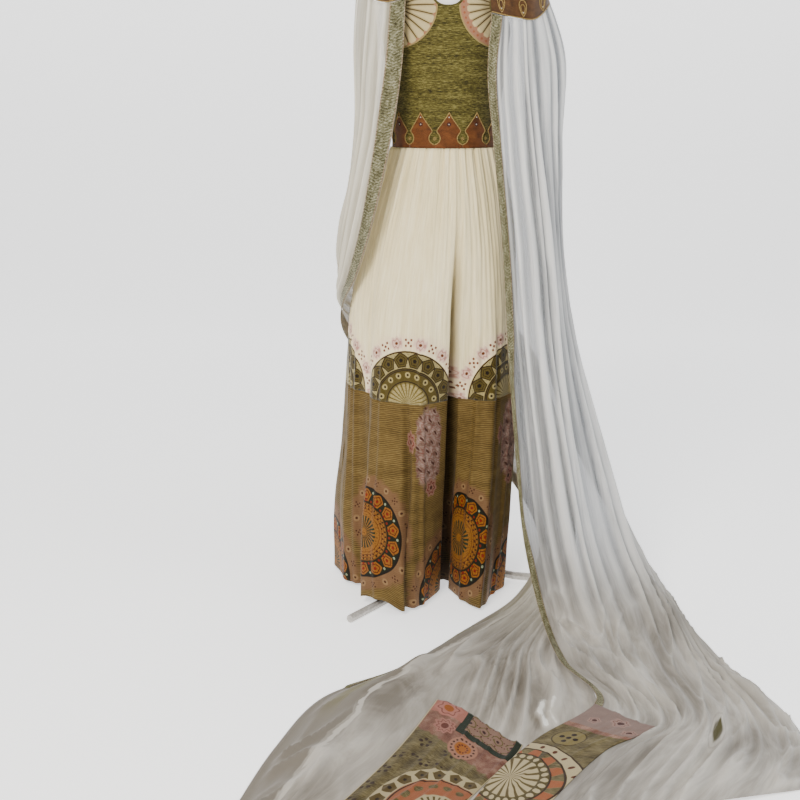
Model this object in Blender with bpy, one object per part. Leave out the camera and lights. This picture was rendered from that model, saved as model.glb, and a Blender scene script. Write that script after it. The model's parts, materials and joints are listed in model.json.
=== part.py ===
"""A habesha kemis dress with long sheer sleeve wings, standing on a limbless dress form.

Metres, +Z up. The wearer faces -Y, and +X is to the right as seen from the front.
The dress is modelled round the stand's pole at x = y = 0, and everything then hangs from one
empty that brings the middle of the whole model's box to x = y = 0 with its lowest point at z = 0.

An angle round the body is 0 at the front, 90 degrees at +X and 180 degrees at the back.
A wall of cloth is a grid of outer points, a second grid moved inwards by the cloth's
thickness along the grid's normals, and a rim that joins the two.
"""
import math
from collections import namedtuple

import bmesh
import bpy
import numpy as np
from mathutils import Vector

# Clearances and cloth thicknesses
GAP = 0.0005
SEAM = 0.0004
LINING_CLEARANCE = 0.0024
BODICE_CLOTH = 0.0022
BAND_CLOTH = 0.0012
SKIRT_CLOTH = 0.0015
SHEER_CLOTH = 0.0013
TRIM_CLOTH = 0.0012
TIBEB_CLOTH = 0.0015

# The dress form, from its flat bottom to the domed end of its neck
FormSection = namedtuple("FormSection", "z half_width half_depth")
FORM = (
    FormSection(0.800, 0.1300, 0.0960),
    FormSection(0.860, 0.1350, 0.0990),
    FormSection(0.940, 0.1240, 0.0940),
    FormSection(1.019, 0.1105, 0.0885),
    FormSection(1.060, 0.1115, 0.0905),
    FormSection(1.100, 0.1150, 0.0945),
    FormSection(1.160, 0.1225, 0.1040),
    FormSection(1.220, 0.1290, 0.1110),
    FormSection(1.265, 0.1320, 0.1090),
    FormSection(1.310, 0.1345, 0.1005),
    FormSection(1.345, 0.1320, 0.0870),
    FormSection(1.372, 0.1210, 0.0755),
    FormSection(1.398, 0.1010, 0.0660),
    FormSection(1.425, 0.0780, 0.0590),
    FormSection(1.452, 0.0600, 0.0540),
    FormSection(1.485, 0.0530, 0.0510),
)
FORM_DOME = ((0.008, 0.80), (0.014, 0.45))
FORM_COLUMNS = 24
FORM_INSET = 0.004
FORM_INSET_START = 1.25
FORM_INSET_FULL = 1.33

# The stand: a pole, a hub and three curved legs whose last stretch lies flat on the floor
POLE_RADIUS = 0.0125
HUB_RADIUS = 0.022
HUB_BOTTOM = 0.140
HUB_TOP = 0.200
LEG_RADIUS = 0.0085
LEG_SIDES = 8
LEG_ANGLES = (-39.0, 81.0, 201.0)
LEG_PATH = ((0.0223, 0.160), (0.052, 0.156), (0.078, 0.134), (0.094, 0.096), (0.106, 0.058),
            (0.122, 0.029), (0.146, 0.014), (0.180, 0.0092), (0.215, LEG_RADIUS), (0.335, LEG_RADIUS))

# The bodice's outline. Above the armpits its columns run straight up in the front view.
WAIST = 1.0190
NECKLINE_FRONT = 1.309
NECKLINE_BACK = 1.395
NECKLINE_CURVE = 2.0
NECK_HALF_WIDTH = 0.070
SHOULDER_HALF_WIDTH = 0.112
ARMHOLE_LOW = 1.250
ARMHOLE_FULL = 1.320
SEAM_ANGLE = 89.85
BODICE_COLUMNS = 20
BODICE_LOW_ROWS = 6
BODICE_HIGH_ROWS = 10
BODICE_FINE_ROWS = 120

# The rust waist band, whose top edge is a row of pointed arches with keyholes between them
BAND_LIFT = 0.0007
ARCH_COUNT = 12
ARCH_PROFILE = ((0.00, 0.0740), (0.45, 0.0490), (0.80, 0.0330), (1.00, 0.0100))

# The half-round rayed patches over the bust, in the front view, centred on the armhole's edge
FAN_RADIUS = 0.085
FAN_CENTRE = (0.106, 1.306)
FAN_TOP = 1.356
FAN_BELOW_NECKLINE = 0.006
FAN_SPOKES = 17
FAN_RINGS = (0.05, 0.24, 0.43, 0.62, 0.81, 1.0)
FAN_LIFT = 0.0012

# The lower edge of each arm band, from its front end round the outside of the arm to its back end
ArmPoint = namedtuple("ArmPoint", "share x y z")
ARM_EDGES = {
    "right": (
        ArmPoint(0.00, 0.088, -0.113, 1.292),
        ArmPoint(0.22, 0.135, -0.123, 1.281),
        ArmPoint(0.42, 0.180, -0.108, 1.279),
        ArmPoint(0.58, 0.209, -0.066, 1.306),
        ArmPoint(0.78, 0.210, 0.000, 1.326),
        ArmPoint(1.00, 0.168, 0.060, 1.318),
    ),
    "left": (
        ArmPoint(0.00, -0.088, -0.111, 1.322),
        ArmPoint(0.22, -0.128, -0.117, 1.311),
        ArmPoint(0.42, -0.163, -0.098, 1.321),
        ArmPoint(0.58, -0.184, -0.060, 1.338),
        ArmPoint(0.78, -0.188, 0.000, 1.342),
        ArmPoint(1.00, -0.158, 0.056, 1.332),
    ),
}
BAND_RISE = (-0.004, 0.004, 0.042)
CAP_SEAM_ANGLE = 31.0
CAP_SEAM_TOP = 1.389
CAP_BULGE = (0.018, 0.012)
SLEEVE_COLUMNS = 14
SLEEVE_ROWS = 4
CAP_CLEARANCE = 0.0001

# The skirt: half sizes to the left, right, front and back at each height
SkirtSection = namedtuple("SkirtSection", "z left right front back")
SKIRT = (
    SkirtSection(0.030, 0.266, 0.156, 0.236, 0.255),
    SkirtSection(0.180, 0.261, 0.165, 0.234, 0.250),
    SkirtSection(0.330, 0.242, 0.171, 0.224, 0.238),
    SkirtSection(0.483, 0.229, 0.173, 0.210, 0.222),
    SkirtSection(0.660, 0.214, 0.170, 0.186, 0.196),
    SkirtSection(0.800, 0.184, 0.160, 0.153, 0.164),
    SkirtSection(0.930, 0.147, 0.141, 0.120, 0.127),
    SkirtSection(1.0186, 0.117, 0.119, 0.0962, 0.0962),
)
# Deep folds of the skirt: angle at the hem, lean to the right at the waist, half width, depth
SkirtFold = namedtuple("SkirtFold", "angle lean half_width depth")
SKIRT_FOLDS = (
    SkirtFold(5.0, 14.0, 26.0, 0.66),
    SkirtFold(52.0, 4.0, 16.0, 0.10),
    SkirtFold(92.0, 0.0, 20.0, 0.14),
    SkirtFold(128.0, -6.0, 20.0, 0.42),
    SkirtFold(168.0, 0.0, 17.0, 0.36),
    SkirtFold(-148.0, 5.0, 19.0, 0.46),
    SkirtFold(-112.0, 0.0, 12.0, 0.12),
    SkirtFold(-80.0, 4.0, 20.0, 0.26),
    SkirtFold(-50.0, 0.0, 13.0, 0.10),
)
FOLD_START = 0.92
FOLD_GROWTH = 1.2
TIER_SEAM = 0.483
GATHER_COLUMNS = 38
GATHER_HEIGHT = 0.0032
GATHER_FADE = 0.74
SKIRT_ROWS = (1.0186, 0.975, 0.91, 0.83, 0.74, 0.65, 0.565, TIER_SEAM)
BORDER_ROWS = (TIER_SEAM, 0.37, 0.25, 0.13, 0.030)

# The sheer wings: sections from the arm band down to the floor and out to the end of the train.
# Each has four points across the cloth, from the trimmed front edge round to the plain edge.
Section = namedtuple("Section", "trim belly outer plain")
RIGHT_WING = (
    Section((0.092, -0.111, 1.291), (0.166, -0.105, 1.277), (0.236, -0.038, 1.320), (0.170, 0.055, 1.320)),
    Section((0.092, -0.122, 1.198), (0.166, -0.132, 1.195), (0.252, -0.020, 1.215), (0.176, 0.090, 1.250)),
    Section((0.104, -0.136, 1.027), (0.182, -0.152, 1.020), (0.248, -0.020, 1.035), (0.190, 0.115, 1.050)),
    Section((0.122, -0.176, 0.819), (0.205, -0.182, 0.815), (0.258, -0.020, 0.820), (0.205, 0.145, 0.830)),
    Section((0.136, -0.205, 0.600), (0.225, -0.215, 0.600), (0.292, -0.030, 0.600), (0.245, 0.175, 0.610)),
    Section((0.150, -0.235, 0.402), (0.255, -0.250, 0.400), (0.345, -0.040, 0.390), (0.290, 0.190, 0.400)),
    Section((0.173, -0.258, 0.200), (0.295, -0.295, 0.190), (0.410, -0.110, 0.180), (0.390, 0.130, 0.180)),
    Section((0.206, -0.300, 0.040), (0.335, -0.375, 0.045), (0.470, -0.260, 0.045), (0.500, -0.090, 0.024)),
    Section((0.225, -0.470, 0.017), (0.350, -0.530, 0.018), (0.480, -0.500, 0.016), (0.562, -0.430, 0.004)),
    Section((0.268, -0.640, 0.017), (0.365, -0.722, 0.018), (0.500, -0.690, 0.016), (0.628, -0.650, 0.004)),
    Section((0.150, -0.755, 0.017), (0.262, -0.800, 0.018), (0.475, -0.790, 0.016), (0.630, -0.765, 0.004)),
    Section((0.062, -0.870, 0.017), (0.160, -0.930, 0.018), (0.420, -0.875, 0.016), (0.605, -0.840, 0.004)),
    Section((-0.010, -1.000, 0.017), (0.085, -1.050, 0.018), (0.345, -0.960, 0.016), (0.572, -0.893, 0.004)),
)
LEFT_WING = (
    Section((-0.087, -0.109, 1.324), (-0.146, -0.104, 1.310), (-0.197, -0.042, 1.345), (-0.150, 0.055, 1.335)),
    Section((-0.106, -0.120, 1.198), (-0.160, -0.115, 1.198), (-0.196, -0.010, 1.215), (-0.150, 0.090, 1.240)),
    Section((-0.129, -0.127, 1.058), (-0.172, -0.092, 1.058), (-0.190, 0.000, 1.070), (-0.150, 0.105, 1.080)),
    Section((-0.156, -0.137, 0.930), (-0.196, -0.080, 0.930), (-0.204, 0.020, 0.940), (-0.150, 0.130, 0.950)),
    Section((-0.178, -0.127, 0.837), (-0.216, -0.055, 0.835), (-0.228, 0.045, 0.840), (-0.145, 0.165, 0.860)),
    Section((-0.204, -0.087, 0.744), (-0.231, -0.015, 0.745), (-0.222, 0.095, 0.760), (-0.115, 0.195, 0.790)),
    Section((-0.226, -0.030, 0.675), (-0.236, 0.060, 0.690), (-0.185, 0.160, 0.715), (-0.070, 0.215, 0.750)),
    Section((-0.222, 0.110, 0.560), (-0.165, 0.200, 0.600), (-0.065, 0.240, 0.650), (0.040, 0.240, 0.700)),
    Section((-0.120, 0.240, 0.440), (-0.030, 0.270, 0.490), (0.070, 0.265, 0.550), (0.155, 0.225, 0.610)),
    Section((0.010, 0.285, 0.330), (0.100, 0.275, 0.390), (0.180, 0.235, 0.450), (0.240, 0.170, 0.500)),
    Section((0.130, 0.245, 0.230), (0.200, 0.210, 0.280), (0.250, 0.155, 0.330), (0.280, 0.090, 0.380)),
    Section((0.215, 0.130, 0.140), (0.260, 0.090, 0.180), (0.290, 0.030, 0.220), (0.300, -0.040, 0.260)),
    Section((0.235, -0.020, 0.070), (0.275, -0.060, 0.085), (0.300, -0.105, 0.110), (0.300, -0.160, 0.135)),
    Section((0.165, -0.170, 0.022), (0.215, -0.205, 0.022), (0.255, -0.235, 0.025), (0.285, -0.265, 0.030)),
    Section((0.059, -0.280, 0.0022), (0.125, -0.335, 0.0022), (0.200, -0.370, 0.0022), (0.270, -0.390, 0.0022)),
    Section((-0.100, -0.475, 0.0022), (0.020, -0.475, 0.0022), (0.160, -0.560, 0.0022), (0.280, -0.600, 0.0022)),
    Section((-0.250, -0.590, 0.0022), (-0.028, -0.600, 0.0022), (0.120, -0.762, 0.0022), (0.265, -0.790, 0.0022)),
    Section((-0.322, -0.760, 0.0022), (-0.105, -0.775, 0.0022), (0.040, -0.885, 0.0022), (0.180, -0.935, 0.0022)),
    Section((-0.365, -0.920, 0.0022), (-0.195, -0.930, 0.0022), (-0.040, -1.000, 0.0022), (0.080, -1.060, 0.0022)),
    Section((-0.390, -1.040, 0.0022), (-0.280, -1.060, 0.0022), (-0.120, -1.100, 0.0022), (0.000, -1.130, 0.0022)),
)
RIGHT_COLUMNS = 24
LEFT_COLUMNS = 18
ROW_STEP = 0.115
SEAM_REACH = 0.12
SEAM_DROP = 0.0008
PLEAT_HEIGHTS = (0.009, 0.006, 0.011, 0.007)
PLEAT_ON_FLOOR = 0.45
FLOOR_CLEARANCE = 0.0021
TRIM_COLUMNS = 1
TRIM_SHORT = 0.02
RIGHT_TRIM_SECTIONS = 9
LEFT_TRIM_SECTIONS = 19
RIGHT_END_BAND = (9, 12)
LEFT_END_BAND = (16, 19)

# Colours, each with a roughness and a metallic value
Finish = namedtuple("Finish", "colour roughness metallic")
FINISHES = {
    "form_cover": Finish((0.79, 0.74, 0.70), 0.60, 0.0),
    "stand_metal": Finish((0.32, 0.31, 0.29), 0.45, 0.6),
    "lurex": Finish((0.17, 0.14, 0.05), 0.50, 0.3),
    "rust": Finish((0.21, 0.08, 0.02), 0.60, 0.1),
    "rayed_patch": Finish((0.60, 0.48, 0.32), 0.70, 0.0),
    "white_cotton": Finish((0.66, 0.61, 0.52), 0.85, 0.0),
    "gold_border": Finish((0.20, 0.13, 0.04), 0.50, 0.3),
    "sheer_white": Finish((0.60, 0.58, 0.57), 0.80, 0.0),
    "olive_trim": Finish((0.18, 0.15, 0.07), 0.60, 0.2),
    "tibeb": Finish((0.30, 0.22, 0.14), 0.65, 0.1),
}


def clear_scene():
    """Take every object out of the file that the script runs in."""
    for leftover in list(bpy.data.objects):
        bpy.data.objects.remove(leftover, do_unlink=True)


def material(name):
    """A Principled material from the table of finishes, made once."""
    found = bpy.data.materials.get(name)
    if found:
        return found
    made = bpy.data.materials.new(name)
    made.use_nodes = True
    shader = made.node_tree.nodes["Principled BSDF"]
    finish = FINISHES[name]
    shader.inputs["Base Color"].default_value = (*finish.colour, 1.0)
    shader.inputs["Roughness"].default_value = finish.roughness
    shader.inputs["Metallic"].default_value = finish.metallic
    made.diffuse_color = (*finish.colour, 1.0)
    return made


def add_solid(name, points, faces, finish, origin):
    """One closed mesh object with its faces pointing outwards, hung from the origin."""
    mesh = bpy.data.meshes.new(name)
    mesh.from_pydata([tuple(p) for p in points], [], [tuple(int(i) for i in f) for f in faces])
    shape = bmesh.new()
    shape.from_mesh(mesh)
    bmesh.ops.recalc_face_normals(shape, faces=shape.faces)
    shape.to_mesh(mesh)
    shape.free()
    mesh.shade_smooth()
    mesh.set_sharp_from_angle(angle=math.radians(40))
    mesh.materials.append(material(finish))
    solid = bpy.data.objects.new(name, mesh)
    solid.parent = origin
    bpy.context.scene.collection.objects.link(solid)
    return solid


def smooth(keys, values, at):
    """A cubic through rows of values, with the slope at each key taken from its neighbours."""
    keys = np.asarray(keys, dtype=float)
    values = np.asarray(values, dtype=float)
    at = np.clip(np.asarray(at, dtype=float), keys[0], keys[-1])
    slopes = np.gradient(values, keys, axis=0)
    low = np.clip(np.searchsorted(keys, at, side="right") - 1, 0, len(keys) - 2)
    span = (keys[low + 1] - keys[low])[..., None]
    t = (at - keys[low])[..., None] / span
    start = (1 + 2 * t) * (1 - t) ** 2 * values[low] + t * (1 - t) ** 2 * span * slopes[low]
    end = t * t * (3 - 2 * t) * values[low + 1] - t * t * (1 - t) * span * slopes[low + 1]
    return start + end


def grid_normals(grid, closed):
    """Unit normals of a grid of points, from the run of its rows and its columns."""
    down = np.gradient(grid, axis=0)
    if closed:
        across = np.roll(grid, -1, axis=1) - np.roll(grid, 1, axis=1)
    else:
        across = np.gradient(grid, axis=1)
    normals = np.cross(across, down)
    return normals / np.linalg.norm(normals, axis=2, keepdims=True)


def grid_faces(rows, columns, closed, first):
    """Two triangles for each cell of a grid whose points are numbered from first."""
    wide = columns if closed else columns - 1
    i, j = np.meshgrid(np.arange(rows - 1), np.arange(wide), indexing="ij")
    right = (j + 1) % columns
    a, b = first + i * columns + j, first + i * columns + right
    c, d = first + (i + 1) * columns + right, first + (i + 1) * columns + j
    return np.concatenate([np.stack([a, b, c], -1).reshape(-1, 3),
                           np.stack([a, c, d], -1).reshape(-1, 3)])


def rim_faces(loop, offset, closed):
    """A strip between an edge of the outer grid and the same edge of the inner one."""
    nearer = np.asarray(loop)
    further = np.roll(nearer, -1) if closed else nearer[1:]
    nearer = nearer if closed else nearer[:-1]
    return np.concatenate([np.stack([nearer, further, further + offset], -1),
                           np.stack([nearer, further + offset, nearer + offset], -1)])


def add_wall(name, outer, normals, rise, thickness, finish, origin, closed=False):
    """A wall of cloth whose two faces are the grid moved along its normals.

    The inner face stands rise off the grid and the outer face a thickness further.
    """
    rows, columns = outer.shape[:2]
    count = rows * columns
    points = np.concatenate([(outer + normals * (rise + thickness)).reshape(-1, 3),
                             (outer + normals * rise).reshape(-1, 3)])
    index = np.arange(count).reshape(rows, columns)
    faces = [grid_faces(rows, columns, closed, 0), grid_faces(rows, columns, closed, count)[:, ::-1],
             rim_faces(index[0], count, closed), rim_faces(index[-1], count, closed)[:, ::-1]]
    if not closed:
        faces += [rim_faces(index[:, 0], count, False)[:, ::-1], rim_faces(index[:, -1], count, False)]
    return add_solid(name, points, np.concatenate(faces), finish, origin)


def form_size(z):
    """Half width and half depth of the dress form at each height."""
    return smooth([s.z for s in FORM], [(s.half_width, s.half_depth) for s in FORM], z)


def form_surface(angle, z):
    """Points of the form's surface and its outward normals, for arrays of angle and height."""
    def point(a, h):
        size = form_size(h)
        return np.stack([size[..., 0] * np.sin(a), -size[..., 1] * np.cos(a), h], -1)

    angle, z = np.broadcast_arrays(np.asarray(angle, float), np.asarray(z, float))
    step = 0.001
    round_body = point(angle + step, z) - point(angle - step, z)
    up_body = point(angle, z + step) - point(angle, z - step)
    normals = np.cross(round_body, up_body)
    return point(angle, z), normals / np.linalg.norm(normals, axis=-1, keepdims=True)


def closed_rings(rings):
    """Points and faces of a solid lofted through rings, each end closed by a fan."""
    rows, columns = rings.shape[:2]
    points = np.concatenate([rings.reshape(-1, 3), rings[:1].mean(axis=1), rings[-1:].mean(axis=1)])
    faces = [grid_faces(rows, columns, True, 0)]
    for row, centre in ((0, rows * columns), (rows - 1, rows * columns + 1)):
        edge = row * columns + np.arange(columns)
        fan = np.stack([edge, np.roll(edge, -1), np.full(columns, centre)], -1)
        faces.append(fan[:, ::-1] if row == 0 else fan)
    return points, np.concatenate(faces)


def build_form(origin):
    """The limbless torso: rings at the table's heights and a low dome on the neck."""
    angles = np.linspace(0, 2 * np.pi, FORM_COLUMNS, endpoint=False)
    rings = []
    for section in FORM:
        points, normals = form_surface(angles, section.z)
        inset = np.interp(section.z, (FORM_INSET_START, FORM_INSET_FULL), (0.0, FORM_INSET))
        rings.append(points - normals * inset)
    top = rings[-1] * (1, 1, 0)
    for rise, share in FORM_DOME:
        rings.append(top * share + np.array((0, 0, FORM[-1].z + rise)))
    points, faces = closed_rings(np.array(rings))
    add_solid("form_torso", points, faces, "form_cover", origin)


def round_bar(name, radius, bottom, top, origin):
    """An upright bar of 16 sides."""
    angles = np.linspace(0, 2 * np.pi, 16, endpoint=False)
    rings = [np.stack([radius * np.sin(angles), radius * np.cos(angles), np.full(16, z)], -1)
             for z in (bottom, top)]
    points, faces = closed_rings(np.array(rings))
    add_solid(name, points, faces, "stand_metal", origin)


def build_stand(origin):
    """Pole, hub and legs. Each leg is an eight-sided tube along a curve in its own upright plane."""
    round_bar("form_pole", POLE_RADIUS, HUB_TOP + SEAM, FORM[0].z - SEAM, origin)
    round_bar("stand_hub", HUB_RADIUS, HUB_BOTTOM, HUB_TOP, origin)
    path = np.array(LEG_PATH)
    run = np.gradient(path, axis=0)
    run[0] = (1.0, 0.0)
    run[-1] = (1.0, 0.0)
    run[-2] = (1.0, 0.0)
    run /= np.linalg.norm(run, axis=1, keepdims=True)
    turn = (np.arange(LEG_SIDES) + 0.5) * 2 * np.pi / LEG_SIDES
    corner = LEG_RADIUS / math.cos(math.pi / LEG_SIDES)
    for number, degrees in enumerate(LEG_ANGLES, 1):
        out = np.array((math.sin(math.radians(degrees)), -math.cos(math.radians(degrees)), 0.0))
        side = np.array((-out[1], out[0], 0.0))
        up = np.array((0.0, 0.0, 1.0))
        rings = []
        for (reach, height), (along, rise) in zip(path, run):
            upright = up * along - out * rise
            middle = out * reach + up * height
            rings.append([middle + corner * (math.sin(t) * side + math.cos(t) * upright) for t in turn])
        points, faces = closed_rings(np.array(rings))
        points[:, 2] = np.maximum(points[:, 2], 0.0)
        add_solid(f"stand_leg_{number}", points, faces, "stand_metal", origin)


def ridge_height(x):
    """Height of the shoulder line, where the form is just as wide as x on each side."""
    heights = np.linspace(1.345, FORM[-1].z, 60)
    return np.interp(-x, -form_size(heights)[:, 0], heights)


def bodice_top(x, neckline):
    """Height of a panel's top edge at a distance from the middle: neckline, then shoulder seam."""
    neck = np.clip(x / NECK_HALF_WIDTH, 0, 1) ** NECKLINE_CURVE
    low = neckline + (ridge_height(NECK_HALF_WIDTH) - neckline) * neck
    return np.where(x < NECK_HALF_WIDTH, low, ridge_height(x))


def bodice_angle(across, z):
    """Angle of a bodice column, whose straight run up the front view starts at the armpit."""
    half_width = form_size(z)[..., 0]
    rise = np.clip((z - ARMHOLE_LOW) / (ARMHOLE_FULL - ARMHOLE_LOW), 0, 1)
    rise = rise * rise * (3 - 2 * rise)
    x = half_width * np.sin(np.radians(90 * across)) * (1 - rise) + SHOULDER_HALF_WIDTH * across * rise
    return np.minimum(np.arcsin(np.clip(x / half_width, 0, 1)), math.radians(SEAM_ANGLE))


def bodice_grid(front):
    """Angles and heights of a bodice panel, from the waist up to its neckline and shoulders.

    Rows are even in height below the armpits, and above them even along each column.
    """
    columns = np.linspace(-1, 1, BODICE_COLUMNS + 1)
    low = np.linspace(WAIST, ARMHOLE_LOW, BODICE_LOW_ROWS + 1)[:-1]
    tops = bodice_top(SHOULDER_HALF_WIDTH * np.abs(columns), NECKLINE_FRONT if front else NECKLINE_BACK)
    angles = []
    heights = []
    for column, top in zip(columns, tops):
        fine = np.linspace(ARMHOLE_LOW, top, BODICE_FINE_ROWS)
        line = form_surface(bodice_angle(abs(column), fine), fine)[0]
        length = np.concatenate([[0], np.cumsum(np.linalg.norm(np.diff(line, axis=0), axis=1))])
        high = np.interp(np.linspace(0, length[-1], BODICE_HIGH_ROWS + 1), length, fine)
        z = np.concatenate([low, high])
        heights.append(z)
        angles.append(bodice_angle(abs(column), z) * np.sign(column))
    angle, z = np.stack(angles, 1), np.stack(heights, 1)
    return (angle if front else np.pi - angle), z


def build_bodice(origin):
    """Front and back panels of olive cloth over the form."""
    for name, front in (("bodice_front", True), ("bodice_back", False)):
        points, normals = form_surface(*bodice_grid(front))
        add_wall(name, points, normals, LINING_CLEARANCE, BODICE_CLOTH, "lurex", origin)


def build_waist_band(origin):
    """Front and back halves of the rust band, whose top edge runs up and down in arches."""
    shares = [p[0] for p in ARCH_PROFILE]
    heights = [p[1] for p in ARCH_PROFILE]
    width = 180.0 / ARCH_COUNT
    columns = sorted({round(peak * 2 * width + side * share * width, 4)
                      for peak in range(-3, 4) for share in shares for side in (-1, 1)})
    columns = np.array([c for c in columns if -90 <= c <= 90])
    from_peak = np.abs((columns + width) % (2 * width) - width) / width
    top = np.interp(from_peak, shares, heights)
    angle = np.clip(columns, -SEAM_ANGLE, SEAM_ANGLE)
    rows = np.linspace(0, 1, 3)[:, None]
    rise = LINING_CLEARANCE + BODICE_CLOTH + BAND_LIFT
    for name, front in (("waist_band_front", True), ("waist_band_back", False)):
        turned = np.radians(angle if front else 180 - angle)[None, :] + 0 * rows
        points, normals = form_surface(turned, WAIST + rows * top[None, :])
        add_wall(name, points, normals, rise, BAND_CLOTH, "rust", origin)


def inside_front(x, z):
    """Whether a point of the front view lies on the bodice's front, clear of its edges."""
    below_neckline = z < bodice_top(x, NECKLINE_FRONT) - FAN_BELOW_NECKLINE
    return (x < SHOULDER_HALF_WIDTH) & below_neckline & (z < FAN_TOP)


def build_fans(origin):
    """Half-round patches over the bust, cut off by the neckline and short of the shoulder."""
    rise = LINING_CLEARANCE + BODICE_CLOTH + FAN_LIFT
    turn = np.linspace(0.5 * np.pi, 1.5 * np.pi, FAN_SPOKES)
    reach = np.linspace(FAN_RINGS[0] * FAN_RADIUS, FAN_RADIUS, 80)
    x = FAN_CENTRE[0] + reach[:, None] * np.cos(turn)
    z = FAN_CENTRE[1] + reach[:, None] * np.sin(turn)
    allowed = np.cumprod(inside_front(x, z), axis=0).sum(axis=0)
    limit = reach[np.maximum(allowed - 1, 0)]
    rings = np.array(FAN_RINGS)[:, None] * limit
    x = FAN_CENTRE[0] + rings * np.cos(turn)
    z = FAN_CENTRE[1] + rings * np.sin(turn)
    for name, side in (("bust_fan_left", -1), ("bust_fan_right", 1)):
        points, normals = form_surface(side * np.arcsin(x / form_size(z)[..., 0]), z)
        add_wall(name, points, normals, rise, BAND_CLOTH, "rayed_patch", origin)


def arm_edge(side, share, lift):
    """A line round the arm band: lift 0 is its lower edge and 1 its upper edge."""
    rows = ARM_EDGES[side]
    line = smooth([r.share for r in rows], [r[1:] for r in rows], share)
    out = 1 if side == "right" else -1
    return line + lift * np.array(BAND_RISE) * np.array((out, 1, 1))


def cap_seam(side, share, end):
    """Where the cap sleeve is sewn: up the front of the armhole, over the shoulder and down the back.

    It starts and finishes as high as the ends of the arm band's upper edge.
    """
    out = 1 if side == "right" else -1
    angle = np.radians(90 - CAP_SEAM_ANGLE * np.cos(np.pi * share))
    low = np.interp(share, (0, 1), end[[0, -1], 2])
    z = low + (CAP_SEAM_TOP - low) * np.sin(np.pi * share) ** 0.8
    points, normals = form_surface(angle, z)
    stand_off = LINING_CLEARANCE + BODICE_CLOTH + TRIM_CLOTH + CAP_CLEARANCE
    return (points + normals * stand_off) * np.array((out, 1, 1))


def build_sleeves(origin):
    """An open cap sleeve from each armhole down to its arm band, and the band itself.

    Each line of the sleeve is a curve of three points: the armhole seam, a point that stands
    out from the shoulder, and the band's upper edge.
    """
    share = np.linspace(0, 1, SLEEVE_COLUMNS + 1)
    along = np.linspace(0, 1, SLEEVE_ROWS + 1)[:, None, None]
    for side, out in (("right", 1), ("left", -1)):
        band = np.array([arm_edge(side, share, lift) for lift in (0.0, 0.5, 1.0)])
        around_band = grid_normals(band, False) * out
        add_wall(f"arm_band_{side}", band, around_band, -BAND_CLOTH, BAND_CLOTH, "rust", origin)
        end = arm_edge(side, share, 1.0) + SEAM * np.array((0, 0, 1))
        seam = cap_seam(side, share, end)
        radial = end * (1, 1, 0)
        radial /= np.linalg.norm(radial, axis=1, keepdims=True)
        middle = (seam + end) / 2 + radial * CAP_BULGE[0] + np.array((0, 0, CAP_BULGE[1]))
        sleeve = (1 - along) ** 2 * seam + 2 * along * (1 - along) * middle + along ** 2 * end
        outward = grid_normals(sleeve, False) * -out
        outward[-1] = around_band[-1]
        add_wall(f"sleeve_{side}", sleeve, outward, -TRIM_CLOTH, TRIM_CLOTH, "lurex", origin)


def skirt_outline(angle, z):
    """Points of the skirt's outside at angles in degrees: a four-part ellipse with deep folds."""
    sizes = smooth([s.z for s in SKIRT], [s[1:] for s in SKIRT], z)
    turned = np.radians(angle)
    half_x = np.where(np.sin(turned) < 0, sizes[..., 0], sizes[..., 1])
    half_y = np.where(np.cos(turned) > 0, sizes[..., 2], sizes[..., 3])
    grown = np.clip((FOLD_START - z) / (FOLD_START - SKIRT[0].z), 0, 1) ** FOLD_GROWTH
    drop = np.zeros_like(turned)
    for fold in SKIRT_FOLDS:
        middle = fold.angle + fold.lean * z / WAIST
        away = np.abs((angle - middle + 180) % 360 - 180) / fold.half_width
        drop = drop + fold.depth * np.cos(np.clip(away, 0, 1) * np.pi / 2) ** 1.15
    shrink = 1 - grown * drop
    return np.stack([half_x * np.sin(turned) * shrink, -half_y * np.cos(turned) * shrink, z + 0 * turned], -1)


def skirt_grid(front, heights):
    """Half of the skirt with its columns spaced evenly along the cloth, and gathers at the top."""
    fine = np.linspace(-SEAM_ANGLE, SEAM_ANGLE, 721)
    fine = fine if front else 180 - fine
    rows = []
    for z in heights:
        line = skirt_outline(fine, z)
        length = np.concatenate([[0], np.cumsum(np.linalg.norm(np.diff(line, axis=0), axis=1))])
        wanted = np.linspace(0, length[-1], GATHER_COLUMNS + 1)
        rows.append(np.stack([np.interp(wanted, length, line[:, k]) for k in range(3)], -1))
    grid = np.array(rows)
    zigzag = np.where(np.arange(GATHER_COLUMNS + 1) % 2, 1.0, -1.0)
    zigzag[[0, -1]] = 0.0
    fade = np.clip((np.array(heights) - GATHER_FADE) / (WAIST - GATHER_FADE), 0, 1)
    outward = np.cross(np.gradient(grid, axis=1), (0.0, 0.0, 1.0))
    outward /= np.linalg.norm(outward, axis=2, keepdims=True)
    return grid + outward * (1 if front else -1) * (GATHER_HEIGHT * fade[:, None] * zigzag)[..., None]


def build_skirt(origin):
    """White gathered tier and gold border tier, each with a front and a back."""
    tiers = (("skirt", SKIRT_ROWS, "white_cotton"), ("border", BORDER_ROWS, "gold_border"))
    for name, heights, finish in tiers:
        heights = np.array(heights)
        if name == "border":
            heights[0] -= SEAM
        for side, front in (("front", True), ("back", False)):
            grid = skirt_grid(front, heights)
            normals = grid_normals(grid, False)
            outward = np.sign(np.sum(normals * grid * (1, 1, 0), axis=2).mean())
            add_wall(f"{name}_{side}", grid, normals * outward, -SKIRT_CLOTH, SKIRT_CLOTH, finish, origin)


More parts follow.
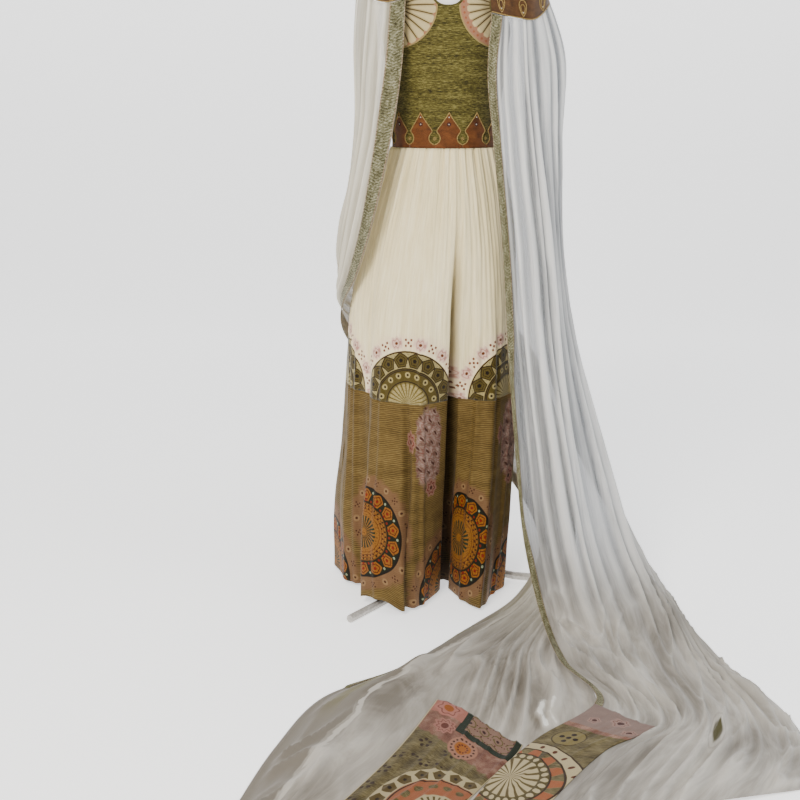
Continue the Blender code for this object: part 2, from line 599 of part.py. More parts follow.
def wing_rows(sections):
    """Row positions along the wing: every section, and even steps between one and the next."""
    points = np.array(sections)
    steps = np.linalg.norm(np.diff(points, axis=0), axis=2).mean(axis=1)
    keys = np.concatenate([[0], np.cumsum(steps)])
    rows = [0.0]
    starts = []
    for low, high in zip(keys[:-1], keys[1:]):
        starts.append(len(rows) - 1)
        count = max(1, round((high - low) / ROW_STEP))
        rows += list(np.linspace(low, high, count + 1)[1:])
    return keys, np.array(rows), starts + [len(rows) - 1]


def wing_grid(sections, columns, side):
    """Outer points and normals of a wing, and the row number of each of its sections."""
    keys, rows, marks = wing_rows(sections)
    lines = smooth(keys, np.array(sections).reshape(len(sections), -1), rows).reshape(len(rows), 4, 3)
    across = np.linspace(0, 1, columns + 1)
    shaped = np.stack([smooth(np.linspace(0, 1, 4), line, across) for line in lines])
    near_seam = np.clip(1 - rows / SEAM_REACH, 0, 1)[:, None, None] ** 2
    seam = arm_edge(side, across, 0.0) - SEAM_DROP * np.array((0, 0, 1))
    shaped = shaped + near_seam * (seam - shaped[0])
    shaped[..., 2] = np.maximum(shaped[..., 2], FLOOR_CLEARANCE)
    out = 1 if side == "right" else -1
    normals = grid_normals(shaped, False) * -out
    normals[0, :, 2] = 0.0
    normals[0] /= np.linalg.norm(normals[0], axis=1, keepdims=True)
    pleat = np.array([PLEAT_HEIGHTS[(k // 2) % len(PLEAT_HEIGHTS)] if k % 2 else 0.0
                      for k in range(columns + 1)])
    pleat[:TRIM_COLUMNS + 1] = 0.0
    pleat[-1] = 0.0
    grown = np.clip(rows / 0.35, 0.12, 1)[:, None]
    floor = np.clip(1 - shaped[..., 2] / 0.25, 0, 1)
    height = pleat[None, :] * grown * (1 - (1 - out * PLEAT_ON_FLOOR) * floor)
    return shaped + normals * height[..., None], normals, marks


def build_wings(origin):
    """The two sheer wings, the trim along each front edge and the decorated end bands."""
    wings = (("right", RIGHT_WING, RIGHT_COLUMNS, RIGHT_TRIM_SECTIONS, RIGHT_END_BAND, (0, 1)),
             ("left", LEFT_WING, LEFT_COLUMNS, LEFT_TRIM_SECTIONS, LEFT_END_BAND, (1, 2)))
    for side, sections, columns, trim_end, (band_start, band_end), thirds in wings:
        grid, normals, marks = wing_grid(sections, columns, side)
        add_wall(f"wing_{side}", grid, normals, -SHEER_CLOTH, SHEER_CLOTH, "sheer_white", origin)
        trim = (slice(0, marks[trim_end] + 1), slice(0, TRIM_COLUMNS + 1))
        edge = grid[trim].copy()
        edge[-1] += (edge[-2] - edge[-1]) * TRIM_SHORT
        add_wall(f"trim_{side}", edge, normals[trim], GAP, TRIM_CLOTH, "olive_trim", origin)
        first, last = (share * columns // 3 for share in thirds)
        band = (slice(marks[band_start], marks[band_end] + 1), slice(first, last + 1))
        rise = GAP if side == "right" else -(SHEER_CLOTH + GAP + TIBEB_CLOTH)
        add_wall(f"end_band_{side}", grid[band], normals[band], rise, TIBEB_CLOTH, "tibeb", origin)


def centre_on_floor(origin):
    """Move the origin so that the model's box is centred on x = y = 0 and stands at z = 0."""
    corners = np.array([v.co[:] for solid in origin.children for v in solid.data.vertices])
    low, high = corners.min(axis=0), corners.max(axis=0)
    origin.location = Vector((-(low[0] + high[0]) / 2, -(low[1] + high[1]) / 2, -low[2]))


def main():
    clear_scene()
    origin = bpy.data.objects.new("dress_origin", None)
    bpy.context.scene.collection.objects.link(origin)
    build_form(origin)
    build_stand(origin)
    build_bodice(origin)
    build_waist_band(origin)
    build_fans(origin)
    build_sleeves(origin)
    build_skirt(origin)
    build_wings(origin)
    centre_on_floor(origin)
    bpy.context.view_layer.update()


main()
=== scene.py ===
"""Looks of a habesha kemis dress with long sheer sleeve wings, on a limbless form and its stand.

Lengths are in metres and angles round the body in degrees: 0 is the front, 90 is +X.
Shapes are worked out round the stand's pole, and AXIS then moves them to the pole's place.
A cloth's own map is in metres of cloth: u runs across the threads and v up or along them.
"""
import json
import math
from collections import namedtuple

import bmesh
import bpy
import numpy as np
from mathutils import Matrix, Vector

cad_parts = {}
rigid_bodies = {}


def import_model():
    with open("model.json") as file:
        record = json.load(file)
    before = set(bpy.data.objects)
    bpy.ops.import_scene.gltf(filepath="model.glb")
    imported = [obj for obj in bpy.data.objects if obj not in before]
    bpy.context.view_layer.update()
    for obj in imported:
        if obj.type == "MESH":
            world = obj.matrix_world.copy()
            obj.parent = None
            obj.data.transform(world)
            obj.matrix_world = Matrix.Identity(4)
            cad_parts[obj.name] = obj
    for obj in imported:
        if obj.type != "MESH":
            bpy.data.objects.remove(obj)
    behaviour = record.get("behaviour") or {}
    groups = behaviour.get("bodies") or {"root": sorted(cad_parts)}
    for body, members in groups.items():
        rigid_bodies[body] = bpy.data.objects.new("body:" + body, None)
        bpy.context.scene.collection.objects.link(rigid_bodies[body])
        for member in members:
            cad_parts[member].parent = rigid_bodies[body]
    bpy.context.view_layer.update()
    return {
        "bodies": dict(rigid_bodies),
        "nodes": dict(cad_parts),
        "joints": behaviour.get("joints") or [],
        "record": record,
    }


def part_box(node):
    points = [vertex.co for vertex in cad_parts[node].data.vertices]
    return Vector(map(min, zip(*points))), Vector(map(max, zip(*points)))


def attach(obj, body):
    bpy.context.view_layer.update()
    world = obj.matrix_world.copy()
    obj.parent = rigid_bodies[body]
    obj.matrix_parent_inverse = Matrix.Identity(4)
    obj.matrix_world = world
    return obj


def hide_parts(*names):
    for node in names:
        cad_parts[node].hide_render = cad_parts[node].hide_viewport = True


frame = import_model()
POLE = np.array(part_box("form_pole"))
AXIS = np.array((*POLE[:, :2].mean(axis=0), 0.0))
TAU = 2 * math.pi

# The dress form's half width and half depth at each height, and how far cloth stands off it
FormSection = namedtuple("FormSection", "z half_width half_depth")
FORM = (
    FormSection(0.800, 0.1300, 0.0960),
    FormSection(0.860, 0.1350, 0.0990),
    FormSection(0.940, 0.1240, 0.0940),
    FormSection(1.019, 0.1105, 0.0885),
    FormSection(1.060, 0.1115, 0.0905),
    FormSection(1.100, 0.1150, 0.0945),
    FormSection(1.160, 0.1225, 0.1040),
    FormSection(1.220, 0.1290, 0.1110),
    FormSection(1.265, 0.1320, 0.1090),
    FormSection(1.310, 0.1345, 0.1005),
    FormSection(1.345, 0.1320, 0.0870),
    FormSection(1.372, 0.1210, 0.0755),
    FormSection(1.398, 0.1010, 0.0660),
    FormSection(1.425, 0.0780, 0.0590),
    FormSection(1.452, 0.0600, 0.0540),
    FormSection(1.485, 0.0530, 0.0510),
)
BODICE_STAND_OFF = 0.0046

# Bodice outline
WAIST = 1.0190
NECKLINE_FRONT = 1.305
NECKLINE_BACK = 1.395
NECKLINE_CURVE = 2.5
NECK_HALF_WIDTH = 0.070
SHOULDER_HALF_WIDTH = 0.112
ARMHOLE_LOW = 1.250
ARMHOLE_FULL = 1.320
SEAM_ANGLE = 89.99
BODICE_COLUMNS = 100
BODICE_LOW_ROWS = 44
BODICE_HIGH_ROWS = 56

# Waist band: one arch, as shares of its half width at each height above the waist
ARCH_COUNT = 12
BandRow = namedtuple("BandRow", "height half_width")
ARCH = (
    BandRow(0.0000, 1.00), BandRow(0.0075, 1.00), BandRow(0.0095, 0.82), BandRow(0.0130, 0.68),
    BandRow(0.0180, 0.60), BandRow(0.0235, 0.60), BandRow(0.0290, 0.68), BandRow(0.0330, 0.80),
    BandRow(0.0365, 0.84), BandRow(0.0400, 0.78), BandRow(0.0480, 0.58), BandRow(0.0570, 0.36),
    BandRow(0.0660, 0.15), BandRow(0.0745, 0.00),
)
BAND_STAND_OFF = 0.0064
CORD_RADIUS = 0.0011

# Bust fans
FAN_RADIUS = 0.085
FAN_CENTRE = (0.106, 1.306)
FAN_TOP = 1.356
FAN_STAND_OFF = 0.0068
FAN_BELOW_NECKLINE = 0.006
FAN_RAYS = 13

# Arm bands and cap sleeves
ArmPoint = namedtuple("ArmPoint", "share x y z")
ARM_EDGES = {
    "right": (
        ArmPoint(0.00, 0.088, -0.113, 1.292),
        ArmPoint(0.22, 0.135, -0.123, 1.281),
        ArmPoint(0.42, 0.180, -0.108, 1.279),
        ArmPoint(0.58, 0.209, -0.066, 1.306),
        ArmPoint(0.78, 0.210, 0.000, 1.326),
        ArmPoint(1.00, 0.168, 0.060, 1.318),
    ),
    "left": (
        ArmPoint(0.00, -0.088, -0.111, 1.322),
        ArmPoint(0.22, -0.128, -0.117, 1.311),
        ArmPoint(0.42, -0.163, -0.098, 1.321),
        ArmPoint(0.58, -0.184, -0.060, 1.338),
        ArmPoint(0.78, -0.188, 0.000, 1.342),
        ArmPoint(1.00, -0.158, 0.056, 1.332),
    ),
}
BAND_RISE = (-0.004, 0.004, 0.042)
CAP_SEAM_ANGLE = 31.0
CAP_SEAM_TOP = 1.389
CAP_BULGE = (0.018, 0.012)
CAP_STAND_OFF = 0.0059

# The skirt's half sizes and its deep folds
SkirtSection = namedtuple("SkirtSection", "z left right front back")
SKIRT = (
    SkirtSection(0.030, 0.266, 0.156, 0.236, 0.255),
    SkirtSection(0.180, 0.261, 0.165, 0.234, 0.250),
    SkirtSection(0.330, 0.242, 0.171, 0.224, 0.238),
    SkirtSection(0.483, 0.229, 0.173, 0.210, 0.222),
    SkirtSection(0.660, 0.214, 0.170, 0.186, 0.196),
    SkirtSection(0.800, 0.184, 0.160, 0.153, 0.164),
    SkirtSection(0.930, 0.147, 0.141, 0.120, 0.127),
    SkirtSection(1.0186, 0.117, 0.119, 0.0962, 0.0962),
)
SkirtFold = namedtuple("SkirtFold", "angle lean half_width depth")
SKIRT_FOLDS = (
    SkirtFold(5.0, 14.0, 26.0, 0.66),
    SkirtFold(52.0, 4.0, 16.0, 0.10),
    SkirtFold(92.0, 0.0, 20.0, 0.14),
    SkirtFold(128.0, -6.0, 20.0, 0.42),
    SkirtFold(168.0, 0.0, 17.0, 0.36),
    SkirtFold(-148.0, 5.0, 19.0, 0.46),
    SkirtFold(-112.0, 0.0, 12.0, 0.12),
    SkirtFold(-84.0, 4.0, 16.0, 0.10),
    SkirtFold(-62.0, 3.0, 16.0, 0.28),
)
FOLD_START = 0.92
FOLD_GROWTH = 1.2
TIER_SEAM = 0.483
HEM = 0.030
GATHERS_PER_HALF = 19
GATHER_HEIGHT = 0.0030
GATHER_FADE = 0.74
TIER_SEAM_GAP = 0.0004
HEM_DIP = 0.021
LEG_ANGLES = (-39.0, 81.0, 201.0)

# Soft creases that run down each half of the skirt, by share of the half and by height
Crease = namedtuple("Crease", "share_top share_hem half_width depth start")
FRONT_CREASES = (
    Crease(0.06, 0.05, 0.020, -0.0040, 0.95),
    Crease(0.13, 0.10, 0.016, 0.0050, 0.80),
    Crease(0.21, 0.17, 0.022, -0.0050, 0.90),
    Crease(0.29, 0.30, 0.016, 0.0045, 0.75),
    Crease(0.38, 0.40, 0.020, -0.0150, 0.60),
    Crease(0.44, 0.45, 0.014, 0.0045, 0.85),
    Crease(0.575, 0.575, 0.024, -0.0360, 0.94),
    Crease(0.66, 0.67, 0.018, 0.0050, 0.88),
    Crease(0.74, 0.76, 0.020, -0.0055, 0.82),
    Crease(0.83, 0.85, 0.016, 0.0045, 0.70),
    Crease(0.92, 0.93, 0.018, -0.0045, 0.90),
)
BACK_CREASES = (
    Crease(0.07, 0.06, 0.018, 0.0045, 0.90),
    Crease(0.16, 0.17, 0.020, -0.0050, 0.82),
    Crease(0.27, 0.25, 0.016, 0.0045, 0.75),
    Crease(0.38, 0.40, 0.020, -0.0055, 0.88),
    Crease(0.50, 0.49, 0.018, 0.0050, 0.80),
    Crease(0.62, 0.63, 0.020, -0.0050, 0.90),
    Crease(0.75, 0.73, 0.016, 0.0045, 0.72),
    Crease(0.88, 0.89, 0.020, -0.0050, 0.86),
)

# The sheer wings: four points across the cloth at each section, from the trimmed edge to the plain edge
Section = namedtuple("Section", "trim belly outer plain")
RIGHT_WING = (
    Section((0.092, -0.111, 1.291), (0.166, -0.105, 1.277), (0.236, -0.038, 1.320), (0.170, 0.055, 1.320)),
    Section((0.082, -0.122, 1.198), (0.166, -0.132, 1.195), (0.252, -0.020, 1.215), (0.176, 0.090, 1.250)),
    Section((0.096, -0.136, 1.027), (0.182, -0.152, 1.020), (0.248, -0.020, 1.035), (0.190, 0.115, 1.050)),
    Section((0.115, -0.176, 0.819), (0.205, -0.182, 0.815), (0.258, -0.020, 0.820), (0.205, 0.145, 0.830)),
    Section((0.130, -0.205, 0.600), (0.225, -0.215, 0.600), (0.292, -0.030, 0.600), (0.245, 0.175, 0.610)),
    Section((0.147, -0.235, 0.402), (0.255, -0.250, 0.400), (0.345, -0.040, 0.390), (0.290, 0.190, 0.400)),
    Section((0.169, -0.258, 0.200), (0.295, -0.295, 0.190), (0.410, -0.110, 0.180), (0.390, 0.130, 0.180)),
    Section((0.206, -0.300, 0.040), (0.335, -0.375, 0.045), (0.470, -0.260, 0.045), (0.500, -0.090, 0.024)),
    Section((0.225, -0.470, 0.017), (0.350, -0.530, 0.018), (0.480, -0.500, 0.016), (0.562, -0.430, 0.004)),
    Section((0.268, -0.640, 0.017), (0.365, -0.722, 0.018), (0.500, -0.690, 0.016), (0.628, -0.650, 0.004)),
    Section((0.150, -0.755, 0.017), (0.262, -0.800, 0.018), (0.475, -0.790, 0.016), (0.630, -0.765, 0.004)),
    Section((0.062, -0.870, 0.017), (0.160, -0.930, 0.018), (0.420, -0.875, 0.016), (0.605, -0.840, 0.004)),
    Section((-0.010, -1.000, 0.017), (0.085, -1.050, 0.018), (0.345, -0.960, 0.016), (0.572, -0.893, 0.004)),
)
LEFT_WING = (
    Section((-0.087, -0.109, 1.324), (-0.146, -0.104, 1.310), (-0.197, -0.042, 1.345), (-0.150, 0.055, 1.335)),
    Section((-0.094, -0.120, 1.198), (-0.160, -0.115, 1.198), (-0.196, -0.010, 1.215), (-0.150, 0.090, 1.240)),
    Section((-0.114, -0.129, 1.058), (-0.172, -0.092, 1.058), (-0.190, 0.000, 1.070), (-0.150, 0.105, 1.080)),
    Section((-0.141, -0.139, 0.930), (-0.196, -0.080, 0.930), (-0.204, 0.020, 0.940), (-0.150, 0.130, 0.950)),
    Section((-0.165, -0.130, 0.837), (-0.216, -0.055, 0.835), (-0.228, 0.045, 0.840), (-0.145, 0.165, 0.860)),
    Section((-0.195, -0.092, 0.744), (-0.231, -0.015, 0.745), (-0.222, 0.095, 0.760), (-0.115, 0.195, 0.790)),
    Section((-0.226, -0.030, 0.675), (-0.236, 0.060, 0.690), (-0.185, 0.160, 0.715), (-0.070, 0.215, 0.750)),
    Section((-0.222, 0.110, 0.560), (-0.165, 0.200, 0.600), (-0.065, 0.240, 0.650), (0.040, 0.240, 0.700)),
    Section((-0.120, 0.240, 0.440), (-0.030, 0.270, 0.490), (0.070, 0.265, 0.550), (0.155, 0.225, 0.610)),
    Section((0.010, 0.285, 0.330), (0.100, 0.275, 0.390), (0.180, 0.235, 0.450), (0.240, 0.170, 0.500)),
    Section((0.130, 0.245, 0.230), (0.200, 0.210, 0.280), (0.250, 0.155, 0.330), (0.280, 0.090, 0.380)),
    Section((0.215, 0.130, 0.140), (0.260, 0.090, 0.180), (0.290, 0.030, 0.220), (0.300, -0.040, 0.260)),
    Section((0.235, -0.020, 0.070), (0.275, -0.060, 0.085), (0.300, -0.105, 0.110), (0.300, -0.160, 0.135)),
    Section((0.165, -0.170, 0.022), (0.215, -0.205, 0.022), (0.255, -0.235, 0.025), (0.285, -0.265, 0.030)),
    Section((0.059, -0.280, 0.0022), (0.125, -0.335, 0.0022), (0.200, -0.370, 0.0022), (0.270, -0.390, 0.0022)),
    Section((-0.100, -0.475, 0.0022), (0.020, -0.475, 0.0022), (0.160, -0.560, 0.0022), (0.280, -0.600, 0.0022)),
    Section((-0.250, -0.590, 0.0022), (-0.028, -0.600, 0.0022), (0.120, -0.762, 0.0022), (0.265, -0.790, 0.0022)),
    Section((-0.322, -0.760, 0.0022), (-0.105, -0.775, 0.0022), (0.040, -0.885, 0.0022), (0.180, -0.935, 0.0022)),
    Section((-0.365, -0.920, 0.0022), (-0.195, -0.930, 0.0022), (-0.040, -1.000, 0.0022), (0.080, -1.060, 0.0022)),
    Section((-0.390, -1.040, 0.0022), (-0.280, -1.060, 0.0022), (-0.120, -1.100, 0.0022), (0.000, -1.130, 0.0022)),
)
# Main folds of each wing: their place across the cloth at the arm band, at the floor and at the end
WingFold = namedtuple("WingFold", "band floor end half_width height")
RIGHT_FOLDS = (
    WingFold(0.080, 0.09, 0.14, 0.016, 0.008),
    WingFold(0.135, 0.16, 0.24, 0.026, 0.017),
    WingFold(0.225, 0.25, 0.30, 0.042, 0.012),
    WingFold(0.300, 0.32, 0.38, 0.018, 0.016),
    WingFold(0.345, 0.38, 0.44, 0.034, 0.022),
    WingFold(0.440, 0.46, 0.52, 0.048, 0.013),
    WingFold(0.500, 0.54, 0.60, 0.020, 0.018),
    WingFold(0.580, 0.61, 0.67, 0.036, 0.021),
    WingFold(0.660, 0.70, 0.74, 0.050, 0.012),
    WingFold(0.720, 0.76, 0.80, 0.018, 0.015),
    WingFold(0.800, 0.84, 0.86, 0.034, 0.015),
    WingFold(0.880, 0.90, 0.92, 0.022, 0.017),
    WingFold(0.945, 0.96, 0.97, 0.018, 0.008),
)
LEFT_FOLDS = (
    WingFold(0.130, 0.11, 0.10, 0.034, 0.006),
    WingFold(0.220, 0.19, 0.17, 0.030, 0.012),
    WingFold(0.330, 0.29, 0.26, 0.056, 0.009),
    WingFold(0.410, 0.38, 0.36, 0.026, 0.013),
    WingFold(0.520, 0.48, 0.46, 0.050, 0.009),
    WingFold(0.590, 0.57, 0.55, 0.024, 0.013),
    WingFold(0.700, 0.67, 0.66, 0.052, 0.011),
    WingFold(0.790, 0.78, 0.76, 0.030, 0.013),
    WingFold(0.890, 0.88, 0.87, 0.034, 0.011),
)
RIGHT_FLOOR_AT = 1.30
LEFT_FLOOR_AT = 1.95
SEAM_REACH = 0.12
WING_SEAM_DROP = 0.0008
FLOOR_CLEARANCE = 0.0021
RIGHT_TRIM_SECTIONS = 9
LEFT_TRIM_SECTIONS = 19
# Width of the braid at distances along each wing
RIGHT_TRIM = ((0.0, 0.024), (0.12, 0.019), (0.30, 0.017), (0.68, 0.016), (0.78, 0.009), (1.10, 0.008), (1.20, 0.016),
              (3.0, 0.018))
LEFT_TRIM = ((0.0, 0.034), (0.30, 0.038), (0.80, 0.035), (1.60, 0.020), (2.00, 0.011), (3.0, 0.011))
RIGHT_END_BAND = (9, 12)
LEFT_END_BAND = (16, 19)

# Small crumpled ridge on the floor: its x and its farthest and nearest y
CRUMPLE = (0.165, -0.610, -0.720)

# Camera
CAMERA = (-0.0993, -2.5634, 1.1309)
CAMERA_PITCH = 15.08
CAMERA_LENS = 51.147


def smooth(keys, values, at):
    """A cubic through rows of values, with the slope at each key taken from its neighbours."""
    keys = np.asarray(keys, dtype=float)
    values = np.asarray(values, dtype=float)
    shape = values.shape[1:]
    values = values.reshape(len(keys), -1)
    at = np.clip(np.asarray(at, dtype=float), keys[0], keys[-1])
    slopes = np.gradient(values, keys, axis=0)
    low = np.clip(np.searchsorted(keys, at, side="right") - 1, 0, len(keys) - 2)
    span = (keys[low + 1] - keys[low])[..., None]
    t = (at - keys[low])[..., None] / span
    start = (1 + 2 * t) * (1 - t) ** 2 * values[low] + t * (1 - t) ** 2 * span * slopes[low]
    end = t * t * (3 - 2 * t) * values[low + 1] - t * t * (1 - t) * span * slopes[low + 1]
    return (start + end).reshape(at.shape + shape)


def ease(x, low, high):
    """0 below low, 1 above high, and a smooth step between them."""
    t = np.clip((x - low) / (high - low), 0, 1)
    return t * t * (3 - 2 * t)


def lattice(x, y, seed):
    """Smooth values from -1 to 1: random numbers at whole x and y, eased between them."""
    table = np.random.default_rng(seed).uniform(-1, 1, (64, 64))
    i, j = np.floor(x).astype(int), np.floor(y).astype(int)
    fx, fy = x - i, y - j
    fx, fy = fx * fx * (3 - 2 * fx), fy * fy * (3 - 2 * fy)
    a, b = table[i % 64, j % 64], table[(i + 1) % 64, j % 64]
    c, d = table[i % 64, (j + 1) % 64], table[(i + 1) % 64, (j + 1) % 64]
    return (a * (1 - fx) + b * fx) * (1 - fy) + (c * (1 - fx) + d * fx) * fy


def unit(vectors):
    """Vectors brought to a length of 1."""
    return vectors / np.maximum(np.linalg.norm(vectors, axis=-1, keepdims=True), 1e-12)


def grid_normals(grid):
    """Unit normals of a grid of points, from the run of its rows and its columns."""
    return unit(np.cross(np.gradient(grid, axis=1), np.gradient(grid, axis=0)))


def form_size(z):
    """Half width and half depth of the dress form at each height."""
    return smooth([s.z for s in FORM], [(s.half_width, s.half_depth) for s in FORM], z)


def form_surface(angle, z):
    """Points of the form's surface and its outward normals, for arrays of angle and height."""
    def point(a, h):
        size = form_size(h)
        return np.stack([size[..., 0] * np.sin(a), -size[..., 1] * np.cos(a), h], -1)

    angle, z = np.broadcast_arrays(np.asarray(angle, float), np.asarray(z, float))
    step = 0.001
    round_body = point(angle + step, z) - point(angle - step, z)
    up_body = point(angle, z + step) - point(angle, z - step)
    return point(angle, z), unit(np.cross(round_body, up_body))


def grid_quads(rows, columns, closed=False):
    """Corner numbers of the cells of a grid, as quads."""
    wide = columns if closed else columns - 1
    i, j = np.meshgrid(np.arange(rows - 1), np.arange(wide), indexing="ij")
    right = (j + 1) % columns
    return np.stack([i * columns + j, i * columns + right, (i + 1) * columns + right,
                     (i + 1) * columns + j], -1).reshape(-1, 4)


def mesh_piece(name, points, faces, finish, cloth_map=None):
    """A smooth-shaded mesh object that rides on the model, with an optional map in metres of cloth."""
    mesh = bpy.data.meshes.new(name)
    mesh.from_pydata((points + AXIS).tolist(), [], faces if isinstance(faces, list) else faces.tolist())
    if cloth_map is None:
        shape = bmesh.new()
        shape.from_mesh(mesh)
        bmesh.ops.recalc_face_normals(shape, faces=shape.faces)
        shape.to_mesh(mesh)
        shape.free()
    if cloth_map is not None:
        layer = mesh.uv_layers.new(name="cloth")
        corners = np.empty(len(mesh.loops), dtype=np.int32)
        mesh.loops.foreach_get("vertex_index", corners)
        layer.data.foreach_set("uv", cloth_map[corners].astype(np.float32).ravel())
    mesh.shade_smooth()
    mesh.materials.append(finish)
    piece = bpy.data.objects.new(name, mesh)
    bpy.context.scene.collection.objects.link(piece)
    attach(piece, "root")
    return piece


def cloth_piece(name, grid, cloth_map, finish, thickness=0.0008, outward=None, shade=None):
    """A grid of points as cloth: its faces are turned to the outward side and then given a thickness."""
    faces = grid_quads(*grid.shape[:2])
    points = grid.reshape(-1, 3)
    if outward is not None and np.sum(grid_normals(grid) * outward) < 0:
        faces = faces[:, ::-1]
    piece = mesh_piece(name, points, faces, finish, cloth_map.reshape(-1, 2))
    if shade is not None:
        depth = piece.data.attributes.new("shade", "FLOAT", "POINT")
        depth.data.foreach_set("value", shade.astype(np.float32).ravel())
    wall = piece.modifiers.new("thickness", "SOLIDIFY")
    wall.thickness = thickness
    wall.offset = -1.0
    wall.use_even_offset = False
    return piece


def tube_points(path, normals, radius, sides):
    """Rings round a path: the normal and its cross with the path's run give each ring's plane."""
    run = unit(np.gradient(path, axis=-2))
    side = unit(np.cross(run, normals))
    up = np.cross(side, run)
    turn = np.arange(sides) * TAU / sides
    return path[..., None, :] + radius * (side[..., None, :] * np.cos(turn)[:, None]
                                          + up[..., None, :] * np.sin(turn)[:, None])


def cords(name, paths, normals, radius, finish, sides=6):
    """Round cords along many paths of one length, closed at both ends, joined in one mesh."""
    rings = tube_points(paths, normals, radius, sides)
    count, length = rings.shape[:2]
    ends = np.stack([paths[:, 0], paths[:, -1]], 1)
    points = np.concatenate([rings.reshape(count, -1, 3), ends], 1)
    quads = grid_quads(length, sides, closed=True)
    edge = np.arange(sides)
    caps = np.concatenate([
        np.stack([np.roll(edge, -1), edge, np.full(sides, length * sides)], -1),
        np.stack([edge, np.roll(edge, -1), np.full(sides, length * sides + 1)], -1)
        + ((length - 1) * sides, (length - 1) * sides, 0)])
    step = points.shape[1] * np.arange(count)[:, None, None]
    faces = (quads[None, :, ::-1] + step).reshape(-1, 4).tolist() + (caps + step).reshape(-1, 3).tolist()
    return mesh_piece(name, points.reshape(-1, 3), faces, finish)


def beads(name, centres, normals, radius, height, finish, sides=8, rings=3):
    """Low domes on a surface: circles that shrink towards a top, one mesh for all of them."""
    normals = unit(normals)
    helper = np.where(np.abs(normals[:, 2:]) > 0.9, (1.0, 0.0, 0.0), (0.0, 0.0, 1.0))
    across = unit(np.cross(normals, helper))
    along = np.cross(normals, across)
    rise = np.linspace(0, np.pi / 2, rings + 1)[:-1]
    turn = np.arange(sides) * TAU / sides
    ring = np.cos(rise)[:, None, None] * (np.cos(turn)[:, None] * across[:, None, None]
                                          + np.sin(turn)[:, None] * along[:, None, None])
    lift = np.sin(rise)[:, None, None] * normals[:, None, None]
    points = centres[:, None, None] + radius * ring + height * lift + 0 * turn[:, None]
    top = centres + height * normals
    points = np.concatenate([points.reshape(len(centres), -1, 3), top[:, None], centres[:, None]], 1)
    edge = np.arange(sides)
    last = (rings - 1) * sides
    caps = np.concatenate([np.stack([edge + last, np.roll(edge, -1) + last, np.full(sides, rings * sides)], -1),
                           np.stack([np.roll(edge, -1), edge, np.full(sides, rings * sides + 1)], -1)])
    step = points.shape[1] * np.arange(len(centres))[:, None, None]
    quads = (grid_quads(rings, sides, closed=True) + step).reshape(-1, 4).tolist()
    faces = quads + (caps + step).reshape(-1, 3).tolist()
    return mesh_piece(name, points.reshape(-1, 3), faces, finish)


class Wire:
    """One output of a shader node. Sums written with it add Math nodes to its own material."""

    def __init__(self, looks, socket):
        self.looks = looks
        self.socket = socket

    def maths(self, operation, *others):
        return self.looks.maths(operation, self, *others)

    def __add__(self, other):
        return self.maths("ADD", other)

    __radd__ = __add__

    def __sub__(self, other):
        return self.maths("SUBTRACT", other)

    def __rsub__(self, other):
        return self.looks.maths("SUBTRACT", other, self)

    def __mul__(self, other):
        return self.maths("MULTIPLY", other)

    __rmul__ = __mul__

    def __truediv__(self, other):
        return self.maths("DIVIDE", other)

    def __rtruediv__(self, other):
        return self.looks.maths("DIVIDE", other, self)

    def __abs__(self):
        return self.maths("ABSOLUTE")


